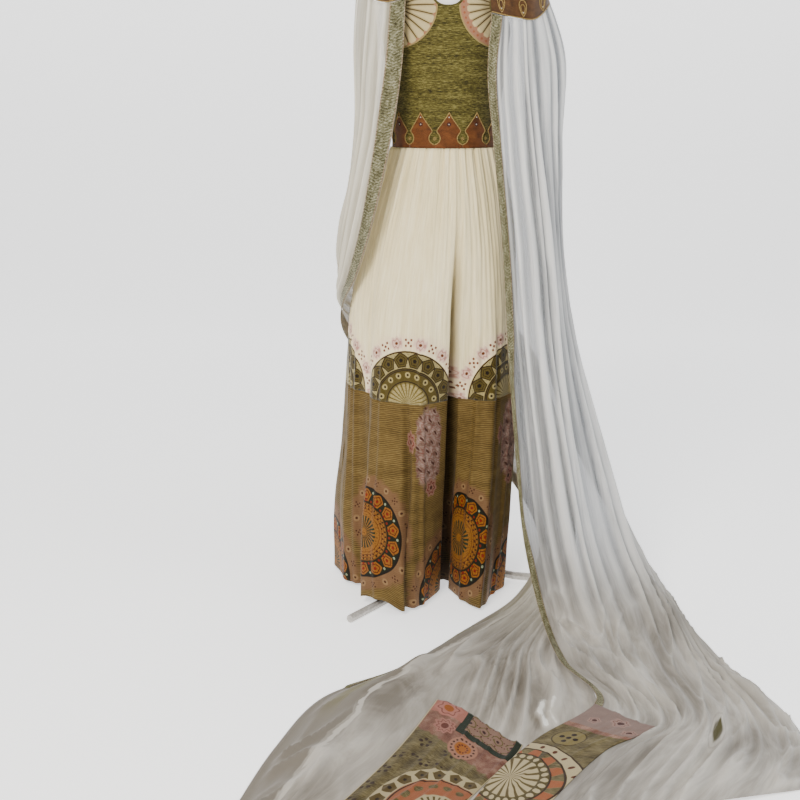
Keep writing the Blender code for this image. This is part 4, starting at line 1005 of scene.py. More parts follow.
def left_band_looks():
    """Left end band: a framed panel beside a flower, a pink field, an olive field and a large round."""
    looks = Looks("tibeb_left", sheen=0.15)
    u, v, both = looks.cloth_map()
    thread, mottled, olive, pink = tibeb_base(looks, both)
    green = looks.mix(thread, tint(26, 40, 16), tint(48, 62, 32))
    colour = looks.mix(looks.step(v + (mottled - 0.5) * 0.05 - u * 0.22, 0.108, 0.116), pink, olive)
    cells_u, cells_v = looks.repeat(u - 0.010 + looks.step(v, 0.2, 0.2001) * 0.03, 0.062), looks.repeat(v - 0.010, 0.056)
    cluster, turn = polar(looks, cells_u, cells_v)
    petals = looks.step(ring_spots(looks, cluster / 0.0105, turn, 5, 1.0, 0.36, 0.42), 1.15, 0.85)
    colour = looks.mix(looks.both_of(petals, looks.step(v - u * 0.22, 0.125, 0.130)), colour, tint(70, 50, 36))
    sun, turn = polar(looks, (u - 0.118) / 0.028, (v - 0.116) / 0.028)
    colour = looks.mix(looks.step(sun, 1.30, 1.22), colour, looks.mix(thread, tint(160, 112, 92), tint(204, 164, 142)))
    colour = looks.mix(looks.step(ring_spots(looks, sun, turn, 16, 0.96, 0.11, 0.11), 1.1, 0.8), colour, BROWN_SPOT)
    colour = looks.mix(looks.step(sun, 0.72, 0.66), colour, looks.mix(thread, tint(158, 96, 38), tint(202, 140, 66)))
    colour = looks.mix(looks.step(ring_spots(looks, sun, turn, 10, 0.42, 0.10, 0.10), 1.1, 0.8), colour, tint(116, 58, 26))
    colour = rosette(looks, colour, u, v, (0.052, 0.080), 0.024, 9, looks.mix(thread, tint(164, 112, 100),
                                                                            tint(206, 162, 148)), tint(120, 66, 48))
    frame = box_mask(looks, u, v, (0.076, -0.010), (0.222, 0.078))
    panel = box_mask(looks, u, v, (0.093, -0.010), (0.205, 0.061))
    colour = looks.mix(frame, colour, green)
    field = looks.mix(thread * 0.5 + mottled * 0.5, tint(128, 94, 80), tint(186, 158, 140))
    curl, turn = polar(looks, looks.repeat(u - 0.149, 0.036), looks.repeat(v - 0.0125, 0.036))
    field = looks.mix(looks.line(curl + turn * 0.006, 0.012, 0.0012, 0.0010), field, tint(122, 108, 66))
    field = looks.mix(looks.step(curl, 0.0050, 0.0034), field, tint(70, 34, 30))
    field = looks.mix(looks.step(ring_spots(looks, curl / 0.017, turn, 6, 0.98, 0.13, 0.13), 1.1, 0.7) * 0.9, field,
                      tint(100, 52, 44))
    colour = looks.mix(panel, colour, field)
    colour = looks.mix(box_mask(looks, u, v, (0.0, -0.010), (0.078, 0.046)), colour,
                       looks.mix(thread, tint(168, 108, 96), tint(206, 154, 138)))
    colour = rosette(looks, colour, u, v, (0.036, 0.020), 0.030, 6, looks.mix(thread, tint(182, 118, 106),
                                                                            tint(216, 164, 150)), tint(176, 112, 54))
    x, y = (u - 0.178) / 0.140, (v - 0.330) / 0.140
    radius, turn = polar(looks, x, y)
    cream = looks.mix(thread, tint(178, 164, 126), tint(222, 210, 176))
    petal = pentagons(looks, radius, turn, 20, 0.865, 0.092)
    ring = looks.mix(looks.step(petal, 1.10, 1.0), cream, tint(112, 96, 58))
    ring = looks.mix(looks.step(petal, 0.34, 0.24), ring, DARK_THREAD)
    core = looks.mix(thread, tint(150, 92, 62), tint(196, 138, 104))
    core = looks.mix(looks.step(ring_spots(looks, radius, turn, 16, 0.58, 0.075, 0.055), 1.1, 0.9), core, olive)
    core = looks.mix(looks.step(radius, 0.40, 0.37), core, cream)
    core = looks.mix(looks.both_of(looks.step(abs(looks.repeat(turn, 1 / 22)) * 44, 0.50, 0.30),
                                   looks.step(radius, 0.36, 0.33)), core, tint(110, 94, 56))
    core = looks.mix(looks.line(radius, 0.72, 0.008, 0.008), core, DARK_THREAD)
    core = looks.mix(looks.step(radius, 0.735, 0.755), core, ring)
    colour = looks.mix(looks.step(radius, 1.0, 0.985), colour, core)
    colour = looks.mix(looks.any_of(looks.step(u, 0.003, 0.001), looks.step(u, 0.217, 0.219)), colour, CREAM)
    looks.coat(colour, 1.25, 1.04, 0.70)
    looks.feed("Roughness", 0.70)
    looks.bump(thread * 0.5 + mottled + frame * 0.5, 0.6, 0.0014)
    return looks.material


def right_band_looks():
    """Right end band: a mauve panel, an olive field with a spotted disc, then a rayed round."""
    looks = Looks("tibeb_right", sheen=0.15)
    u, v, both = looks.cloth_map()
    thread, mottled, olive, pink = tibeb_base(looks, both)
    mauve = looks.mix(thread * 0.4 + mottled * 0.6, tint(124, 102, 96), tint(180, 158, 148))
    colour = looks.mix(looks.step(v + (mottled - 0.5) * 0.02, 0.088, 0.094), mauve, olive)
    colour = looks.mix(box_mask(looks, u, v, (-0.01, 0.086), (0.200, 0.100)), colour, pink)
    for centre, size, petals in (((0.075, 0.034), 0.018, 6), ((0.034, 0.058), 0.012, 5), ((0.112, 0.066), 0.013, 5)):
        colour = rosette(looks, colour, u, v, centre, size, petals, looks.mix(thread, tint(150, 118, 108),
                                                                            tint(196, 172, 162)), tint(84, 44, 40))
    disc, turn = polar(looks, (u - 0.050) / 0.030, (v - 0.142) / 0.030)
    colour = looks.mix(looks.step(disc, 1.05, 0.97), colour, looks.mix(thread, tint(122, 108, 66), tint(164, 150, 104)))
    colour = looks.mix(looks.line(disc, 1.0, 0.03, 0.04), colour, tint(92, 78, 46))
    colour = looks.mix(looks.any_of(looks.step(ring_spots(looks, disc, turn, 4, 0.48, 0.17, 0.17, 0.125), 1.1, 0.8),
                                    looks.step(disc, 0.19, 0.13)), colour, tint(48, 30, 18))
    x, y = (u - 0.030) / 0.125, (v - 0.305) / 0.125
    radius, turn = polar(looks, x, y)
    cream = looks.mix(thread, tint(176, 160, 122), tint(220, 208, 174))
    ring = looks.mix(looks.step(ring_spots(looks, radius, turn, 22, 0.885, 0.035, 0.045), 1.1, 0.8), cream,
                     tint(104, 58, 34))
    wedges = abs(looks.repeat(turn, 1 / 14)) * 28 + (radius - 0.62) * 2.2
    ring = looks.mix(looks.both_of(looks.step(radius, 0.79, 0.78), looks.step(wedges, 0.80, 0.70)), ring,
                     looks.mix(thread, tint(150, 88, 54), tint(190, 128, 88)))
    ring = looks.mix(looks.both_of(looks.step(radius, 0.79, 0.78), looks.step(wedges, 0.70, 0.80)), ring, olive)
    ring = looks.mix(looks.step(radius, 0.62, 0.61), ring, tint(104, 92, 56))
    ring = looks.mix(looks.step(ring_spots(looks, radius, turn, 26, 0.55, 0.045, 0.050), 1.1, 0.9), ring, cream)
    rays = abs(looks.repeat(turn, 1 / 18)) * 36
    ring = looks.mix(looks.step(radius, 0.48, 0.46), ring, looks.mix(looks.step(rays, 0.55, 0.75), cream,
                                                                      tint(112, 98, 60)))
    ring = looks.mix(looks.any_of(looks.line(radius, 0.79, 0.010, 0.008), looks.line(radius, 0.62, 0.008, 0.008),
                                  looks.line(radius, 0.985, 0.012, 0.008)), ring, tint(70, 50, 28))
    colour = looks.mix(looks.step(radius, 1.0, 0.985), colour, ring)
    looks.coat(colour)
    looks.feed("Roughness", 0.70)
    looks.bump(thread * 0.5 + mottled, 0.6, 0.0014)
    return looks.material


def bodice_top(x, neckline):
    """Height of a panel's top edge at a distance from the middle: neckline, then shoulder seam."""
    heights = np.linspace(1.345, FORM[-1].z, 60)
    widths = -form_size(heights)[:, 0]
    corner = np.interp(-NECK_HALF_WIDTH, widths, heights)
    low = neckline + (corner - neckline) * np.clip(x / NECK_HALF_WIDTH, 0, 1) ** NECKLINE_CURVE
    return np.where(x < NECK_HALF_WIDTH, low, np.interp(-x, widths, heights))


def bodice_angle(across, z):
    """Angle of a bodice column, whose straight run up the front view starts at the armpit."""
    half_width = form_size(z)[..., 0]
    rise = ease(z, ARMHOLE_LOW, ARMHOLE_FULL)
    x = half_width * np.sin(np.radians(90 * across)) * (1 - rise) + SHOULDER_HALF_WIDTH * across * rise
    return np.minimum(np.arcsin(np.clip(x / half_width, 0, 1)), math.radians(SEAM_ANGLE))


def bodice_grid(front):
    """Angles and heights of a bodice panel: even rows to the armpit, then even along each column."""
    columns = np.linspace(-1, 1, BODICE_COLUMNS + 1)
    low = np.linspace(WAIST, ARMHOLE_LOW, BODICE_LOW_ROWS + 1)[:-1]
    tops = bodice_top(SHOULDER_HALF_WIDTH * np.abs(columns), NECKLINE_FRONT if front else NECKLINE_BACK)
    angles = []
    heights = []
    for column, top in zip(columns, tops):
        fine = np.linspace(ARMHOLE_LOW, top, 300)
        line = form_surface(bodice_angle(abs(column), fine), fine)[0]
        length = np.concatenate([[0], np.cumsum(np.linalg.norm(np.diff(line, axis=0), axis=1))])
        high = np.interp(np.linspace(0, length[-1], BODICE_HIGH_ROWS + 1), length, fine)
        z = np.concatenate([low, high])
        heights.append(z)
        angles.append(bodice_angle(abs(column), z) * np.sign(column))
    angle, z = np.stack(angles, 1), np.stack(heights, 1)
    return (angle if front else np.pi - angle), z


def build_bodice(olive, piping):
    """Front and back panels with slight wrinkles across the waist, and a piping round neck and armholes."""
    edges = []
    edge_normals = []
    for name, front in (("bodice_front", True), ("bodice_back", False)):
        angle, z = bodice_grid(front)
        points, normals = form_surface(angle, z)
        wrinkle = lattice(angle * 2.6 + 9, z * 46 + 3 * np.sin(angle), 5)
        near_waist = ease(z, 1.20, 1.06)
        height = BODICE_STAND_OFF + 0.0008 * wrinkle * near_waist
        grid = points + normals * height[..., None]
        cloth_map = np.stack([angle * 0.12, z], -1)
        piece = cloth_piece(name, grid, cloth_map, olive, 0.0012, normals)
        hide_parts(name)
        around = [grid[BODICE_LOW_ROWS - 2:, 0], grid[-1], grid[:BODICE_LOW_ROWS - 3:-1, -1]]
        out = [normals[BODICE_LOW_ROWS - 2:, 0], normals[-1], normals[:BODICE_LOW_ROWS - 3:-1, -1]]
        edges.append(np.concatenate(around)[None])
        edge_normals.append(np.concatenate(out)[None])
    for number, (edge, normal) in enumerate(zip(edges, edge_normals), 1):
        keep = np.concatenate([[True], np.linalg.norm(np.diff(edge[0], axis=0), axis=1) > 1e-5])
        cords(f"piping_{number}", edge[:, keep], normal[:, keep], 0.0013, piping, 8)


def band_point(angle, height, stand_off):
    """Points and normals on the waist band, from an angle in degrees and a height above the waist."""
    points, normals = form_surface(np.radians(angle), WAIST + height)
    return points + normals * stand_off, normals


def build_waist_band(rust, gold, pearl, dark):
    """Pointed arches joined by a narrow foot, outlined with cord, with a beaded flower in each."""
    width = 180 / ARCH_COUNT
    heights = np.array([r.height for r in ARCH])
    shares = np.array([r.half_width for r in ARCH])
    rows = np.unique(np.concatenate([heights, np.linspace(0, heights[-1], 40)]))
    half = np.maximum(np.interp(rows, heights, shares), 0.004)[:, None] * width
    across = np.linspace(-1, 1, 17)[None, :]
    points, faces, maps = [], [], []
    peaks = 2.0 + np.arange(ARCH_COUNT) * 2 * width
    for number, peak in enumerate(peaks):
        angle = peak + half * across
        grid, normals = band_point(angle, rows[:, None] + 0 * angle, BAND_STAND_OFF)
        if np.sum(grid_normals(grid) * normals) < 0:
            grid, angle = grid[:, ::-1], angle[:, ::-1]
        faces.append(grid_quads(*grid.shape[:2]) + number * grid.shape[0] * grid.shape[1])
        points.append(grid.reshape(-1, 3))
        maps.append(np.stack([np.radians(angle) * 0.11, rows[:, None] + 0 * angle], -1).reshape(-1, 2))
    band = mesh_piece("waist_band", np.concatenate(points), np.concatenate(faces), rust,
                      np.concatenate(maps))
    wall = band.modifiers.new("thickness", "SOLIDIFY")
    wall.thickness = 0.0010
    wall.use_even_offset = False
    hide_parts("waist_band_front", "waist_band_back")
    side = np.linspace(0.0075, heights[-1], 40)
    reach = np.interp(side, heights, shares)
    reach[0] = 1.0
    outline = np.concatenate([-reach, reach[-2::-1]]) * width
    level = np.concatenate([side, side[-2::-1]])
    angle = peaks[:, None] + outline
    paths, normals = band_point(angle, level + 0 * angle, BAND_STAND_OFF + 0.0006)
    cords("waist_cord", paths, normals, CORD_RADIUS, gold)
    turn = np.linspace(0, TAU, 7)[:-1]
    petal_angle = peaks[:, None] + 1.7 * np.sin(turn)
    petal_height = 0.050 + 0.0033 * np.cos(turn)
    spots, normals = band_point(petal_angle, petal_height + 0 * petal_angle, BAND_STAND_OFF + 0.0002)
    beads("waist_flowers", spots.reshape(-1, 3), normals.reshape(-1, 3), 0.0017, 0.0012, dark)
    hearts, normals = band_point(peaks, np.full(ARCH_COUNT, 0.050), BAND_STAND_OFF + 0.0006)
    tips, tip_normals = band_point(peaks, np.full(ARCH_COUNT, 0.0645), BAND_STAND_OFF)
    drops, drop_normals = band_point(peaks + width, np.full(ARCH_COUNT, 0.0200), BODICE_STAND_OFF)
    beads("waist_pearls", np.concatenate([hearts, tips]), np.concatenate([normals, tip_normals]), 0.0015, 0.0014,
          pearl)
    ring_angle = (peaks + width)[:, None] + 1.5 * np.sin(turn)
    ring_height = 0.0200 + 0.0029 * np.cos(turn)
    rings, ring_normals = band_point(ring_angle, ring_height + 0 * ring_angle, BODICE_STAND_OFF)
    beads("drop_beads", np.concatenate([drops, rings.reshape(-1, 3)]),
          np.concatenate([drop_normals, ring_normals.reshape(-1, 3)]), 0.0013, 0.0012, gold)


def build_fans(patches):
    """Half-round patches: each ray is slightly padded, and the ring round them is flat."""
    turn = np.linspace(0.5 * np.pi, 1.5 * np.pi, 209)
    reach = np.linspace(0.004, FAN_RADIUS, 400)
    x = FAN_CENTRE[0] + reach[:, None] * np.cos(turn)
    z = FAN_CENTRE[1] + reach[:, None] * np.sin(turn)
    allowed = (x < SHOULDER_HALF_WIDTH) & (z < bodice_top(x, NECKLINE_FRONT) - FAN_BELOW_NECKLINE) & (z < FAN_TOP)
    count = np.cumprod(allowed, axis=0).sum(axis=0)
    limit = reach[np.maximum(count - 1, 0)]
    radius = np.linspace(0.05, 1, 40)[:, None] * limit
    x = FAN_CENTRE[0] + radius * np.cos(turn)
    z = FAN_CENTRE[1] + radius * np.sin(turn)
    ray = np.abs((turn / np.pi * FAN_RAYS) % 1 - 0.5) * 2
    inside = ease(radius, 0.34 * FAN_RADIUS, 0.44 * FAN_RADIUS) * ease(radius, 0.82 * FAN_RADIUS, 0.76 * FAN_RADIUS)
    padding = 0.0016 * np.sqrt(np.clip(1 - ray ** 2, 0, 1)) * inside
    for name, side, patch in zip(("bust_fan_left", "bust_fan_right"), (-1, 1), patches):
        surface, normals = form_surface(side * np.arcsin(x / form_size(z)[..., 0]), z)
        grid = surface + normals * (FAN_STAND_OFF + padding)[..., None]
        cloth_map = np.stack([x - FAN_CENTRE[0], z - FAN_CENTRE[1]], -1)
        piece = cloth_piece(name, grid, cloth_map, patch, 0.0010, normals)
        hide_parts(name)


def arm_edge(side, share, lift):
    """A line round the arm band: lift 0 is its lower edge and 1 its upper edge."""
    rows = ARM_EDGES[side]
    out = 1 if side == "right" else -1
    line = smooth([r.share for r in rows], [r[1:] for r in rows], share)
    return line + np.asarray(lift)[..., None] * np.array(BAND_RISE) * np.array((out, 1, 1))


def on_arm_band(side, share, lift, stand_off):
    """Points and outward normals on an arm band."""
    out = 1 if side == "right" else -1
    step = 0.004
    run = arm_edge(side, np.clip(share + step, 0, 1), lift) - arm_edge(side, np.clip(share - step, 0, 1), lift)
    up = arm_edge(side, share, lift + step) - arm_edge(side, share, lift - step)
    normals = unit(np.cross(run, up)) * out
    return arm_edge(side, share, lift) + normals * stand_off, normals


BAND_LENGTH = 0.34
BAND_TALL = 0.042
TEARDROPS = 5


def build_sleeves(olive, rust, gold, pearl):
    """Cap sleeves with soft gathers, and arm bands with corded teardrops and an edging cord."""
    for side, out in (("right", 1), ("left", -1)):
        share, lift = np.meshgrid(np.linspace(0, 1, 141), np.linspace(0, 1, 15))
        grid, normals = on_arm_band(side, share, lift, 0.0)
        cloth_map = np.stack([share * BAND_LENGTH, lift * BAND_TALL], -1)
        band = cloth_piece(f"arm_band_{side}", grid, cloth_map, rust, 0.0010, normals)
        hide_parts(f"arm_band_{side}")
        edge_share, edge_lift = np.meshgrid(np.linspace(0.004, 0.996, 161), (0.03, 0.97))
        paths, normals = on_arm_band(side, edge_share, edge_lift, 0.0004)
        cords(f"arm_band_edges_{side}", paths, normals, CORD_RADIUS, gold)
        t = np.linspace(0, TAU, 41)
        middles = (np.arange(TEARDROPS) + 0.5) / TEARDROPS
        for ring, size in (("outer", 1.0), ("inner", 0.58)):
            wide = 0.0140 * size * np.sin(t) * np.sin(t / 2) ** 0.8
            tall = -0.0160 * size * np.cos(t)
            drop_share = middles[:, None] + wide / BAND_LENGTH
            drop_lift = 0.50 + (tall - 0.0045 * (1 - size)) / BAND_TALL + 0 * drop_share
            paths, normals = on_arm_band(side, drop_share, drop_lift, 0.0006)
            cords(f"arm_drops_{ring}_{side}", paths, normals, 0.0008, gold)
        hearts, normals = on_arm_band(side, middles, np.full(TEARDROPS, 0.30), 0.0002)
        beads(f"arm_pearls_{side}", hearts, normals, 0.0014, 0.0013, pearl)
        share = np.linspace(0, 1, 141)
        end = arm_edge(side, share, np.ones_like(share)) + np.array((0, 0, 0.0004))
        low = np.interp(share, (0, 1), end[[0, -1], 2])
        angle = np.radians(90 - CAP_SEAM_ANGLE * np.cos(np.pi * share))
        z = low + (CAP_SEAM_TOP - low) * np.sin(np.pi * share) ** 0.8
        points, normals = form_surface(angle, z)
        seam = (points + normals * CAP_STAND_OFF) * np.array((out, 1, 1))
        radial = unit(end * (1, 1, 0))
        middle = (seam + end) / 2 + radial * CAP_BULGE[0] + np.array((0, 0, CAP_BULGE[1]))
        along = np.linspace(0, 1, 33)[:, None, None]
        grid = (1 - along) ** 2 * seam + 2 * along * (1 - along) * middle + along ** 2 * end
        outward = grid_normals(grid) * -out
        gather = 0.0012 * np.sin(share * TAU * 17) * np.sin(np.pi * along[..., 0])
        grid = grid + outward * gather[..., None]
        cloth_map = np.stack([share + 0 * along[..., 0], along[..., 0] * 0.3 + 0 * share], -1) * 0.30
        cap = cloth_piece(f"sleeve_{side}", grid, cloth_map, olive, 0.0010, outward)
        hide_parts(f"sleeve_{side}")


def skirt_outline(angle, z):
    """Points of the skirt's outside at angles in degrees: a four-part ellipse with deep folds."""
    sizes = smooth([s.z for s in SKIRT], [s[1:] for s in SKIRT], z)
    turned = np.radians(angle)
    half_x = np.where(np.sin(turned) < 0, sizes[..., 0], sizes[..., 1])
    half_y = np.where(np.cos(turned) > 0, sizes[..., 2], sizes[..., 3])
    grown = np.clip((FOLD_START - z) / (FOLD_START - SKIRT[0].z), 0, 1) ** FOLD_GROWTH
    drop = np.zeros_like(turned)
    for fold in SKIRT_FOLDS:
        middle = fold.angle + fold.lean * z / WAIST
        away = np.abs((angle - middle + 180) % 360 - 180) / fold.half_width
        drop = drop + fold.depth * np.cos(np.clip(away, 0, 1) * np.pi / 2) ** 1.15
    shrink = 1 - grown * drop
    return np.stack([half_x * np.sin(turned) * shrink, -half_y * np.cos(turned) * shrink, z + 0 * turned], -1)


SKIRT_COLUMNS = 260
WHITE_FRONT = 0.645
WHITE_BACK = 0.686
GOLD_FRONT = 0.850
GOLD_BACK = 0.993
VALLEY_CLOTH = 0.188


def soften(line, reach=10):
    """A line whose every point is the mean of its neighbours, with both ends kept."""
    padded = np.pad(line, ((reach + 1, reach), (0, 0)), mode="reflect", reflect_type="odd")
    sums = np.cumsum(padded, axis=0)
    return (sums[2 * reach + 1:] - sums[:-2 * reach - 1]) / (2 * reach + 1)


def skirt_half(front, heights):
    """Half of the skirt, its columns evenly along the cloth, with gathers at the waist and soft creases.

    The hem dips almost to the floor between the legs and rides over each leg. The shade that
    comes with it is how deep the cloth lies in its narrow folds.
    """
    fine = np.linspace(-SEAM_ANGLE, SEAM_ANGLE, 1441)
    fine = fine if front else 180 - fine
    share = np.linspace(0, 1, SKIRT_COLUMNS + 1)
    rows = []
    for z in heights:
        line = soften(skirt_outline(fine, z))
        length = np.concatenate([[0], np.cumsum(np.linalg.norm(np.diff(line, axis=0), axis=1))])
        rows.append(np.stack([np.interp(share * length[-1], length, line[:, k]) for k in range(3)], -1))
    grid = np.array(rows)
    z = np.array(heights)[:, None]
    outward = unit(np.cross(np.gradient(grid, axis=1), (0.0, 0.0, 1.0))) * (1 if front else -1)
    ends = ease(share, 0, 0.02) * ease(share, 1, 0.98)
    fade = np.clip((z - GATHER_FADE) / (WAIST - GATHER_FADE), 0, 1)
    drift = 0.12 * lattice(share * 9 + 0 * z, z * 5 + 0 * share, 3 + front)
    uneven = 1 + 0.55 * lattice(share * 23 + 0 * z, z * 3 + 0 * share, 17 + front)
    gathers = -np.cos(share * TAU * GATHERS_PER_HALF + drift * 6) * GATHER_HEIGHT * fade * uneven
    small = np.cos(share * TAU * 47 + drift * 30) * 0.0012 * np.clip((z - 0.50) / 0.52, 0, 1) ** 0.7 * uneven
    height = (gathers + small) * ends
    shade = np.zeros_like(height)
    for crease in FRONT_CREASES if front else BACK_CREASES:
        middle = crease.share_hem + (crease.share_top - crease.share_hem) * z / WAIST
        away = np.clip(np.abs(share - middle - drift * 0.05) / crease.half_width, 0, 1)
        grown = ease(z, crease.start, crease.start - 0.35)
        height = height + crease.depth * np.cos(away * np.pi / 2) ** 2 * grown
        shade = np.maximum(shade, np.clip(-crease.depth / 0.030, 0, 1) ** 1.5 * (1 - away) ** 0.7 * grown)
    height = height + 0.0012 * lattice(share * 34 + 0 * z, z * 16 + 0 * share, 11 + front) * ease(z, 1.0, 0.8)
    grid = grid + outward * height[..., None]
    angle = np.degrees(np.arctan2(grid[..., 0], -grid[..., 1]))
    from_leg = np.min([np.abs((angle - leg + 180) % 360 - 180) for leg in LEG_ANGLES], axis=0)
    dip = HEM_DIP * ease(from_leg, 4.0, 19.0) * ease(z, 0.22, HEM)
    grid = grid - dip[..., None] * np.array((0.0, 0.0, 1.0))
    grid[..., 1] -= 0.010 * ease(z, 0.30, HEM) * np.clip(-grid[..., 1] / 0.20, 0, 1)
    return grid, share, outward, shade


def build_skirt(white, gold):
    """White gathered tier and gold border tier, each with a front and a back."""
    tiers = (("skirt", np.linspace(WAIST - 0.0004, TIER_SEAM, 74), white, "white_cotton"),
             ("border", np.linspace(TIER_SEAM - TIER_SEAM_GAP, HEM, 64), gold, "gold_border"))
    for name, heights, finish, slot in tiers:
        for side, front in (("front", True), ("back", False)):
            grid, share, outward, shade = skirt_half(front, heights)
            if name == "skirt":
                u = WHITE_FRONT * share if front else WHITE_FRONT + WHITE_BACK * (1 - share)
                v = heights - TIER_SEAM
            else:
                valley = VALLEY_CLOTH * ease(share, 0.53, 0.62)
                u = GOLD_FRONT * share + valley if front else GOLD_FRONT + VALLEY_CLOTH + GOLD_BACK * (1 - share)
                v = heights
            cloth_map = np.stack(np.broadcast_arrays(u[None, :], v[:, None]), -1)
            piece = cloth_piece(f"{name}_{side}", grid, cloth_map, finish, 0.0010, outward, shade)
            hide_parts(f"{name}_{side}")
            "bodice_front" if name == "skirt" else "skirt_front"


PLEAT_HEIGHTS = np.array((0.009, 0.006, 0.011, 0.007))
Wing = namedtuple("Wing", "side out sections folds floor_at cad_columns trim_sections trim_widths "
                          "end_band thirds rows columns cloth_width cut_width band_size")
WINGS = (
    Wing("right", 1, RIGHT_WING, RIGHT_FOLDS, RIGHT_FLOOR_AT, 24, RIGHT_TRIM_SECTIONS, RIGHT_TRIM,
         RIGHT_END_BAND, (0, 1), 218, 166, 1.10, 0.66, (0.130, 0.460)),
    Wing("left", -1, LEFT_WING, LEFT_FOLDS, LEFT_FLOOR_AT, 18, LEFT_TRIM_SECTIONS, LEFT_TRIM,
         LEFT_END_BAND, (1, 2), 262, 138, 0.80, 0.47, (0.220, 0.520)),
)


def wing_keys(wing):
    """Distance of each section from the arm band, along the middle of the cloth."""
    steps = np.linalg.norm(np.diff(np.array(wing.sections), axis=0), axis=2).mean(axis=1)
    return np.concatenate([[0], np.cumsum(steps)])


def wing_sheet(wing, along, across):
    """The smooth sheet through a wing's sections: one distance along for each row of shares across."""
    keys = wing_keys(wing)
    lines = smooth(keys, np.array(wing.sections), along)
    weights = smooth(np.linspace(0, 1, 4), np.eye(4), across)
    shaped = np.einsum("ijk,ikc->ijc", weights, lines)
    near_seam = (np.clip(1 - along / SEAM_REACH, 0, 1) ** 2)[:, None, None]
    first = smooth(np.linspace(0, 1, 4), np.array(wing.sections[0]), across)
    seam = arm_edge(wing.side, across, np.zeros_like(across)) - WING_SEAM_DROP * np.array((0, 0, 1))
    shaped = shaped + near_seam * (seam - first)
    shaped[..., 2] = np.maximum(shaped[..., 2], FLOOR_CLEARANCE)
    return shaped


def trim_share(wing, along):
    """The share of the cloth that the braid covers at each distance along a wing."""
    across = np.linspace(0, 0.25, 26)
    sheet = wing_sheet(wing, along, np.broadcast_to(across, (len(along), len(across))))
    length = np.cumsum(np.linalg.norm(np.diff(sheet, axis=1), axis=2), axis=1)
    length = np.concatenate([np.zeros((len(along), 1)), length], axis=1)
    width = np.interp(along, [w[0] for w in wing.trim_widths], [w[1] for w in wing.trim_widths])
    return np.array([np.interp(w, row, across) for w, row in zip(width, length)])


